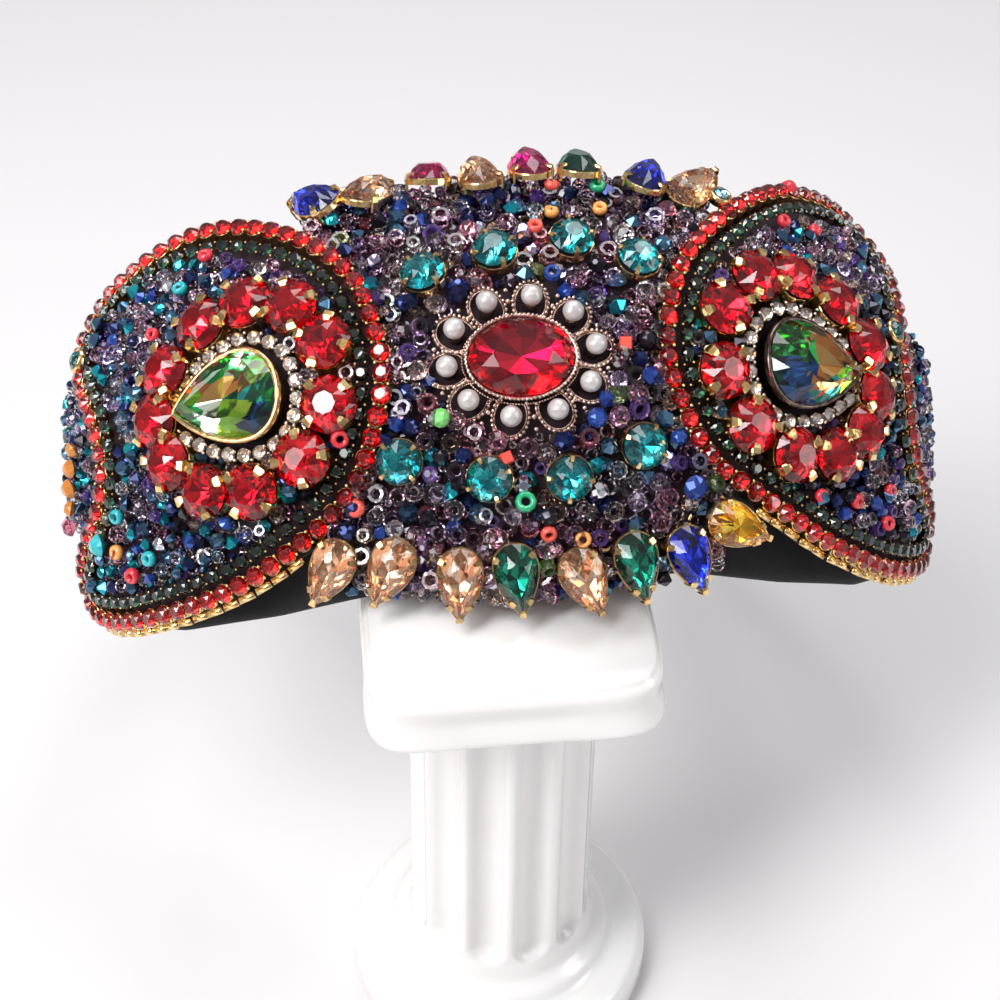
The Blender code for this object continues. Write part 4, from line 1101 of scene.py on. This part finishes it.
# ---------------------------------------------------------------- pear drops along both edges of the centre
drop_line = pear_outline(12.6, 7.7, 20)
dense_line = pear_outline(12.6, 7.7, 80)
prongs, silver_prongs = Batch(), Batch()
for row_name, rows in (("top", TOP_DROPS), ("bottom", BOTTOM_DROPS)):
    for name, s, w, turn, lean, colour in rows:
        s, w = np.array([s]), np.array([w])
        basis = basis_at(s, w, np.array([math.radians(turn)]), math.radians(lean))
        centre = lifted(s, w, np.array([CENTER_TOP + 0.8])) + basis[:, :, 2] * 2.3
        Batch().add(backed_gem(drop_line, 2.3, 2.0, 0.50, 0.78), centre, basis).build(
            "cut_" + name, (GEM[colour], FOIL[colour]), colour, False, [name], fix=False)
        metal_batch = silver_prongs if colour == "champagne" else prongs
        metal_batch.add(wall(shifted_loop(pear_outline(12.6, 7.7, 28), 0.05), -1.25, -0.12, 0.2, 0.1), centre, basis)
        for q in (0, 11, 29, 51, 69):
            p = dense_line[q]
            nxt, prv = dense_line[(q + 1) % 80], dense_line[(q - 1) % 80]
            t = math.atan2(nxt[1] - prv[1], nxt[0] - prv[0])
            direction = t - math.pi / 2
            b = turned_about_out(basis, direction)
            foot = centre + basis[:, :, 0] * (p[0] + 0.1 * math.cos(direction)) + basis[:, :, 1] * (p[1] + 0.1 * math.sin(direction))
            metal_batch.add(claw(1.3, 2.6, 1.3, 0.30), foot - basis[:, :, 2] * 2.2, b)
prongs.build("drop_settings_gold", GOLD, "gold", False)
silver_prongs.build("drop_settings_brass", BRASS, "antique_gold", False)

# ---------------------------------------------------------------- bead fields
RONDELLE = ring_bead(10, 6, 0.36, 0.58)
SEED = ring_bead(9, 5, 0.34, 0.50)
# the bicones' loose facets each take a random shade of the bead's colour: painted facet light and shade
BICONE = split(rings_template([(0.28, -0.80), (1.0, -0.08), (1.0, 0.08), (0.28, 0.80)], 6, twist=False))
CUBE = split(rings_template([(0.82, -0.78), (1.0, -0.60), (1.0, 0.60), (0.82, 0.78)], 4, twist=False))
MELON = cut_gem(ellipse_outline(2, 2, 12), 0.72, 0.72, 0.45, 0.80)
bead_batches = {}


def bead(kind, shape, place, basis, scale):
    bead_batches.setdefault((kind, shape), []).append((place, basis, scale))


SHAPES = {"rondelle": RONDELLE, "seed": SEED, "bicone": BICONE, "cube": CUBE, "melon": MELON}

#          s      w     radius kind      shape
ACCENTS = ((8.7, 33.5, 1.5, "coral", "rondelle"), (3.7, 25.4, 1.5, "coral", "rondelle"), (16.5, 4.2, 1.5, "coral", "cube"),
           (-5.1, -13.6, 1.4, "coral", "cube"), (1.3, -26.5, 1.5, "coral", "rondelle"), (-30.7, -20.2, 1.7, "coral", "rondelle"),
           (18.1, 33.0, 1.5, "green", "rondelle"), (-2.3, -20.9, 1.9, "green", "rondelle"), (-15.5, -6.2, 1.7, "lime", "melon"),
           (7.3, 28.2, 1.4, "orange", "rondelle"), (17.1, 28.5, 1.4, "orange", "rondelle"), (7.1, -27.8, 1.5, "orange", "rondelle"),
           (-4.8, 30.5, 1.8, "navy", "melon"), (5.4, 16.6, 1.6, "cobalt", "rondelle"), (27.0, -20.3, 2.3, "cobalt", "melon"),
           (24.6, -11.6, 1.5, "cobalt", "melon"), (-32.5, -8.5, 1.7, "redbead", "rondelle"), (-62.5, 25.3, 1.5, "redbead", "rondelle"),
           (-70.2, 12.1, 1.4, "redbead", "rondelle"), (-78.0, -29.1, 1.6, "redbead", "rondelle"),
           (-66.2, 19.7, 1.5, "aquabead", "rondelle"), (-86.4, -23.3, 2.2, "aquabead", "melon"),
           (-79.8, -18.5, 1.5, "aquabead", "rondelle"), (-72.7, -26.3, 1.5, "aquabead", "rondelle"),
           (-81.6, -24.8, 1.5, "orange", "rondelle"), (58.0, 26.0, 1.4, "redbead", "rondelle"), (66.2, 24.6, 1.4, "redbead", "rondelle"),
           (52.8, -22.9, 1.4, "redbead", "rondelle"), (61.7, -24.2, 1.5, "redbead", "rondelle"), (71.3, -28.5, 1.5, "redbead", "rondelle"),
           (71.7, -22.7, 1.4, "redbead", "rondelle"), (68.1, 33.4, 1.7, "redbead", "melon"),
           (-95.5, -9.0, 1.8, "ambered", "melon"), (-97.0, -12.5, 1.9, "ambered", "melon"), (-98.5, -16.2, 1.7, "ambered", "melon"),
           (-94.0, -5.6, 1.6, "ambered", "melon"), (-101.5, -19.5, 1.9, "rosy", "melon"))


class Field:
    def __init__(self, loop, margin, felt_lift):
        self.loop, self.margin, self.felt_lift = loop, margin, felt_lift
        self.spots, self.radii = [], []
        self.blocks = []          # circles (s, w, r)
        self.shapes = []          # outlines

    def block(self, s, w, r):
        self.blocks.append((s, w, r))

    def free(self, pts, r, gap):
        ok = inside(pts, self.loop)
        pts_ok = pts[ok]
        if len(pts_ok) == 0:
            return pts_ok
        keep = edge_distance(pts_ok, self.loop) > self.margin + r
        for s, w, rr in self.blocks:
            keep &= np.hypot(pts_ok[:, 0] - s, pts_ok[:, 1] - w) > rr + r * 0.75
        for shape, slack in self.shapes:
            near = np.hypot(*(pts_ok - shape.mean(0)).T) < 30
            idx = np.where(near & keep)[0]
            if len(idx):
                hit = inside(pts_ok[idx], shape) | (edge_distance(pts_ok[idx], shape) < slack + r * 0.6)
                keep[idx[hit]] = False
        return pts_ok[keep]

    def fill(self, r_range, tries, gap, out):
        lo, hi = self.loop.min(0), self.loop.max(0)
        radius = float(np.mean(r_range))
        cand = self.free(rng.uniform(lo, hi, (tries, 2)), radius, gap)
        for p in cand:
            r = rng.uniform(*r_range)
            if self.spots:
                d = np.hypot(*(np.array(self.spots) - p).T)
                if np.any(d < (np.array(self.radii) + r) * gap):
                    continue
            self.spots.append(p)
            self.radii.append(r)
            out.append((p[0], p[1], r))


def pick_kind(weights):
    names = list(weights)
    total = np.array([weights[n] for n in names], float)
    return names[rng.choice(len(names), p=total / total.sum())]


def scatter(spots, mix, felt_lift, raise_by=0.0):
    for s, w, r in spots:
        kind = pick_kind(mix(s, w))
        roll = rng.random()
        if kind in ("navy", "cobalt", "steel", "black", "tealab"):
            shape = "bicone" if roll < 0.55 else "melon"
        elif kind == "mirror":
            shape = "melon"
        else:
            shape = "rondelle" if r > 1.0 else "seed"
            if roll < 0.18:
                shape = "melon"
        out = skin_frames(np.array([s]), np.array([w]))[2]
        tilt = 1.3 if rng.random() < 0.5 else 0.5
        basis = random_basis(out, tilt)
        lift = felt_lift + 0.65 * r + rng.uniform(0.0, 0.7) + raise_by
        bead(kind, shape, lifted(np.array([s]), np.array([w]), np.array([lift]))[0], basis[0], r)


def center_mix(s, w):
    m = dict(lilac=3.0, mauve=4.2, clear=2.2, smoke=2.8, champ=1.4, navy=1.3, cobalt=0.45, steel=1.1, tealab=0.5, black=0.6,
             mirror=0.35, rosy=0.7, violet=0.6, olive=0.25)
    if w < -8:
        m.update(navy=1.6, cobalt=0.6, steel=1.2)
    if w > 22:
        m.update(champ=1.6, mauve=3.4, rosy=0.8)
    return m


def left_mix(s, w):
    m = dict(lilac=2.6, mauve=2.2, clear=2.0, smoke=2.2, navy=1.5, cobalt=0.7, steel=1.8, tealab=1.1, black=0.6, mirror=0.4, violet=0.8)
    if w > 12:
        m.update(violet=1.6, lilac=3.6)
    if w < -14 or s < -78:
        m.update(tealab=3.0, steel=2.4, navy=1.8)
    return m


def right_mix(s, w):
    m = dict(lilac=2.2, mauve=2.4, clear=1.2, smoke=2.2, navy=1.8, cobalt=1.0, steel=1.5, tealab=0.8, black=1.2, mirror=0.3, champ=0.8, violet=0.8)
    if w < -14:
        m.update(navy=2.6, cobalt=1.5)
    return m


fields = []
center = Field(center_loop, -1.6, -1.0)
for name, s, w in TEAL_ROWS:
    center.block(s, w, 3.7)
oval_block = shifted_loop(ellipse_outline(18.0, 13.0, 60), 6.2) + np.array([OVAL_S, OVAL_W])
center.shapes.append((oval_block, 0.0))
for name, s, w, turn, lean, colour in TOP_DROPS + BOTTOM_DROPS:
    o = pear_outline(9.0, 5.0, 24) if w > 0 else pear_outline(12.0, 7.0, 24)
    t = math.radians(turn)
    # tip axis (sin t, cos t) in (s, w); side = out x tip
    tip, sd = np.array([math.sin(t), math.cos(t)]), np.array([-math.cos(t), math.sin(t)])
    center.shapes.append((np.array([s, w]) + o[:, :1] * tip + o[:, 1:] * sd, 0.0))
fields.append((center, center_mix, (1.45, 2.05), 12000))
for side, mix in ((-1, left_mix), (1, right_mix)):
    inner = shifted_loop(smooth_loop(panel_edge(side), 120), -4.6)
    f = Field(inner, -0.2, -0.5)
    for s, w, _ in ring_spots[side]:
        f.block(s, w, 4.7)
    px, py = pear_outline(PEAR_LENGTH + 0.6, PEAR_WIDTH + 0.4, 60).T
    grow = shifted_loop(np.stack([px, py], 1), 3.6)
    gs, gw = from_pear(grow[:, 0], grow[:, 1], side)
    f.shapes.append((np.stack([gs, gw], 1), 0.0))
    fields.append((f, mix, (1.15, 1.75), 9000))
    shift = END_PANEL_RIGHT_SHIFT if side > 0 else 0.0
    low = [(side * (row[1] + shift), row[2]) for row in END_PANEL]
    high = [(side * (row[1] + shift), row[3]) for row in END_PANEL]
    e = Field(smooth_loop(low + high[::-1], 60), 0.0, -1.1)
    e.shapes.append((shifted_loop(smooth_loop(panel_edge(side), 80), 2.4), 0.0))
    fields.append((e, mix, (0.9, 1.6), 3000))

for s, w, r, kind, shape in ACCENTS:
    field = fields[0][0] if abs(s) < 33 else (fields[1][0] if s < 0 else fields[3][0])
    field.spots.append(np.array([s, w]))
    field.radii.append(r)
    out = skin_frames(np.array([s]), np.array([w]))[2]
    basis = random_basis(out, 0.5)
    bead(kind, shape, lifted(np.array([s]), np.array([w]), np.array([field.felt_lift + 0.9 * r + 2.2]))[0], basis[0], r)

for field, mix, big, tries in fields:
    spots = []
    field.fill((big[1] - 0.25, big[1]), tries // 2, 0.82, spots)
    field.fill((big[0] + 0.1, big[1] - 0.3), tries * 2, 0.78, spots)
    field.fill((big[0] - 0.2, big[0]), tries * 2, 0.80, spots)
    field.fill((0.65, big[0] - 0.25), tries, 0.86, spots)
    scatter(spots, mix, field.felt_lift)
    # a second, looser layer lies in the dips of the first
    field.spots, field.radii = [p for p in field.spots[:0]], []
    upper = []
    field.fill((big[0], big[1] - 0.1), tries // 2, 0.98, upper)
    scatter(upper, mix, field.felt_lift, 1.7)

# accents stand on top of the second layer
# beads between and below the drops, past the edge of the felt
for low_w, high_w, low_lift, high_lift, count in ((29.5, 36.6, -2.6, 1.6, 330), (-38.6, -33.0, -2.2, 0.4, 120)):
    done = []
    for _ in range(count * 12):
        s, w = rng.uniform(-43, 43) if low_w > 0 else rng.uniform(-36, 33), rng.uniform(low_w, high_w)
        if low_w > 0 and w > 36.6 - abs(s) * 0.04 or low_w < 0 and w < -38.6 + abs(s) * 0.12:
            continue
        height = rng.uniform(low_lift, high_lift)
        if low_w > 0 and height > -1.3 and any(math.hypot(s - row[1], w - row[2]) < 4.6 for row in TOP_DROPS):
            continue
        if low_w < 0 and height > -1.4 and any(math.hypot(s - row[1], w - row[2]) < 3.6 for row in BOTTOM_DROPS):
            continue
        p = lifted(np.array([s]), np.array([w]), np.array([height]))[0]
        if done and np.min(np.linalg.norm(np.array(done) - p, axis=1)) < 2.1:
            continue
        done.append(p)
        if len(done) > count:
            break
        kind = pick_kind(center_mix(s, w))
        shape = "bicone" if kind in ("navy", "cobalt", "steel", "black", "tealab") else "rondelle"
        bead(kind, shape, p, random_basis(skin_frames(np.array([s]), np.array([w]))[2], 1.3)[0], rng.uniform(1.35, 1.85))

# beads heaped against the walls of the side panels
wall_line = shifted_loop(center_loop, 0.9)
for s, w in wall_line:
    if abs(s) > 19.0 and -24.0 < w < 30.0 and abs(s) < 40.0:
        for lift, keep in ((-0.6, 0.75), (0.8, 0.7), (2.2, 0.6)):
            if rng.random() < keep:
                q = np.array([s + rng.normal() * 0.4]), np.array([w + rng.normal() * 0.5])
                kind = pick_kind(center_mix(s, w))
                shape = "bicone" if kind in ("navy", "cobalt", "steel", "black", "tealab") else "rondelle"
                bead(kind, shape, lifted(q[0], q[1], np.array([lift + rng.uniform(0, 0.6)]))[0],
                     random_basis(skin_frames(*q)[2], 1.3)[0], rng.uniform(1.3, 1.8))

# beads packed under each top drop, so that none stands free of the field
UNDER_DROP = ((-3.6, 0.0, -3.0), (-2.7, 2.3, -3.0), (-2.7, -2.3, -3.0), (0.2, 2.6, -3.0), (0.2, -2.6, -3.0), (2.8, 1.6, -2.9),
              (2.8, -1.6, -2.9), (-3.4, 1.3, -4.9), (-3.4, -1.3, -4.9), (-0.6, 2.7, -5.0), (-0.6, -2.7, -5.0), (2.0, 1.8, -5.0),
              (2.0, -1.8, -5.0))
for name, s, w, turn, lean, colour in TOP_DROPS:
    q = np.array([s]), np.array([w])
    basis = basis_at(*q, np.array([math.radians(turn)]), math.radians(lean))
    centre = lifted(*q, np.array([CENTER_TOP + 0.8])) + basis[:, :, 2] * 2.3
    for x, y, z in UNDER_DROP:
        kind = pick_kind(center_mix(s, w))
        shape = "melon" if kind in ("navy", "cobalt", "steel", "black", "tealab") else "rondelle"
        spot = centre + basis[:, :, 0] * x + basis[:, :, 1] * y + basis[:, :, 2] * z + rng.normal(size=(1, 3)) * 0.12
        bead(kind, shape, spot[0], random_basis(basis[:, :, 2], 1.3)[0], rng.uniform(1.15, 1.45))

for (kind, shape), items in bead_batches.items():
    b = Batch()
    b.add(SHAPES[shape], np.array([i[0] for i in items]), np.array([i[1] for i in items]), np.array([i[2] for i in items]))
    b.build("beads_%s_%s" % (kind, shape), BEAD_MAT[kind], "bead_field", kind in OPAQUE and shape == "rondelle", fix=shape != "bicone")
print("beads", {k: len(v) for k, v in bead_batches.items()}, sum(len(v) for v in bead_batches.values()))

# small set stones at the backs of the side panels, and one blue stone
small = Batch()
#              s      w     radius gem       lift of the girdle
for s, w, r, gem, lift in ((-95.8, 10.3, 2.0, "teal", 4.6), (78.0, 6.1, 2.0, "teal", 4.4), (83.1, -20.5, 2.0, "teal", 2.2),
                           (44.0, 30.1, 1.6, "aqua", 5.0)):
    s, w = np.array([s]), np.array([w])
    basis, centre = basis_at(s, w), lifted(s, w, np.array([lift - 1.0]))
    line = ellipse_outline(2 * r, 2 * r, 12)
    Batch().add(backed_gem(line, r * 0.5, r * 0.6, 0.5), centre, basis).build(
        "edge_stone_%s_%d" % (gem, abs(int(s[0]))), (GEM[gem], FOIL[gem]), "teal", False, fix=False)
    small.add(wall(ellipse_outline(2 * r + 0.1, 2 * r + 0.1, 20), -1.6, 0.2, 0.45, 0.2), centre, basis)
small.build("edge_settings", GOLD, "gold", True)

# ---------------------------------------------------------------- floor, camera, light
bm = bmesh.new()
bmesh.ops.create_grid(bm, x_segments=2, y_segments=2, size=2.0)
mesh = bpy.data.meshes.new("studio_floor")
bm.to_mesh(mesh)
bm.free()
floor = bpy.data.objects.new("studio_floor", mesh)
scene.collection.objects.link(floor)
mat, nodes, links, bsdf = new_material("studio_floor")
put(bsdf, Roughness=0.55)
bsdf.inputs["Base Color"].default_value = (0.80, 0.785, 0.79, 1)
bump(nodes, links, bsdf, 30.0, 0.03, 0.001)
mesh.materials.append(mat)

cam = bpy.data.cameras.new("camera")
cam.lens, cam.sensor_width, cam.sensor_fit = 68.4, 36.0, "HORIZONTAL"
cam.clip_start, cam.clip_end = 0.01, 20.0
cam_obj = bpy.data.objects.new("camera", cam)
scene.collection.objects.link(cam_obj)
a, e, roll = math.radians(-6.67), math.radians(41.12), math.radians(0.79)
back = Vector((math.sin(a) * math.cos(e), -math.cos(a) * math.cos(e), math.sin(e)))
right = Vector((0, 0, 1)).cross(back).normalized()
up = back.cross(right)
R = right * math.cos(roll) + up * math.sin(roll)
U = -right * math.sin(roll) + up * math.cos(roll)
m = Matrix((R, U, back)).transposed().to_4x4()
m.translation = Vector((-29.17, -239.36, 335.31)) * MM
cam_obj.matrix_world = m
scene.camera = cam_obj


def softbox(name, at, size, power, colour=(1, 1, 1), target=(0, 0.03, 0.11)):
    light = bpy.data.lights.new(name, "AREA")
    light.shape, light.size, light.size_y, light.energy, light.color = "RECTANGLE", size[0], size[1], power, colour
    obj = bpy.data.objects.new(name, light)
    scene.collection.objects.link(obj)
    obj.location = at
    obj.rotation_euler = (Vector(target) - Vector(at)).to_track_quat("-Z", "Y").to_euler()
    return obj


softbox("window_left", (-0.60, -0.30, 0.55), (0.35, 0.45), 3.2, (1.0, 0.98, 0.97))
softbox("window_high", (0.10, 0.35, 0.85), (0.60, 0.30), 3.0)
softbox("fill_right", (0.60, -0.20, 0.40), (0.20, 0.40), 0.9)
# a small bright window that the tables near the left panel's front edge mirror towards the lens
at = on_skin(-27.0, 2.0) * MM
normal = skin_frames(-27.0, 2.0)[2]
to_lens = unit(np.array(cam_obj.location) - at)
mirror = 2 * np.dot(normal, to_lens) * normal - to_lens
softbox("glint", tuple(at + mirror * 0.75), (0.20, 0.40), 3.4, (1, 1, 1), tuple(at))

world = bpy.data.worlds.new("studio_world")
scene.world = world
world.use_nodes = True
wn, wl = world.node_tree.nodes, world.node_tree.links
bg = wn["Background"]
bg.inputs["Strength"].default_value = 1.0
coord = wn.new("ShaderNodeTexCoord")
sep = wn.new("ShaderNodeSeparateXYZ")
ramp = wn.new("ShaderNodeValToRGB")
ramp.color_ramp.elements[0].position, ramp.color_ramp.elements[0].color = 0.0, (0.38, 0.37, 0.38, 1)
ramp.color_ramp.elements[1].position, ramp.color_ramp.elements[1].color = 0.9, (0.54, 0.54, 0.56, 1)
mid = ramp.color_ramp.elements.new(0.45)
mid.color = (0.20, 0.20, 0.21, 1)
wl.new(coord.outputs["Generated"], sep.inputs[0])
wl.new(sep.outputs[2], ramp.inputs["Fac"])
wl.new(ramp.outputs["Color"], bg.inputs["Color"])

scene.view_settings.view_transform = "Standard"
scene.view_settings.look = "None"
scene.view_settings.exposure = 0.0
scene.cycles.max_bounces = 10
scene.cycles.transmission_bounces = 8
scene.cycles.caustics_reflective = True
scene.cycles.caustics_refractive = True
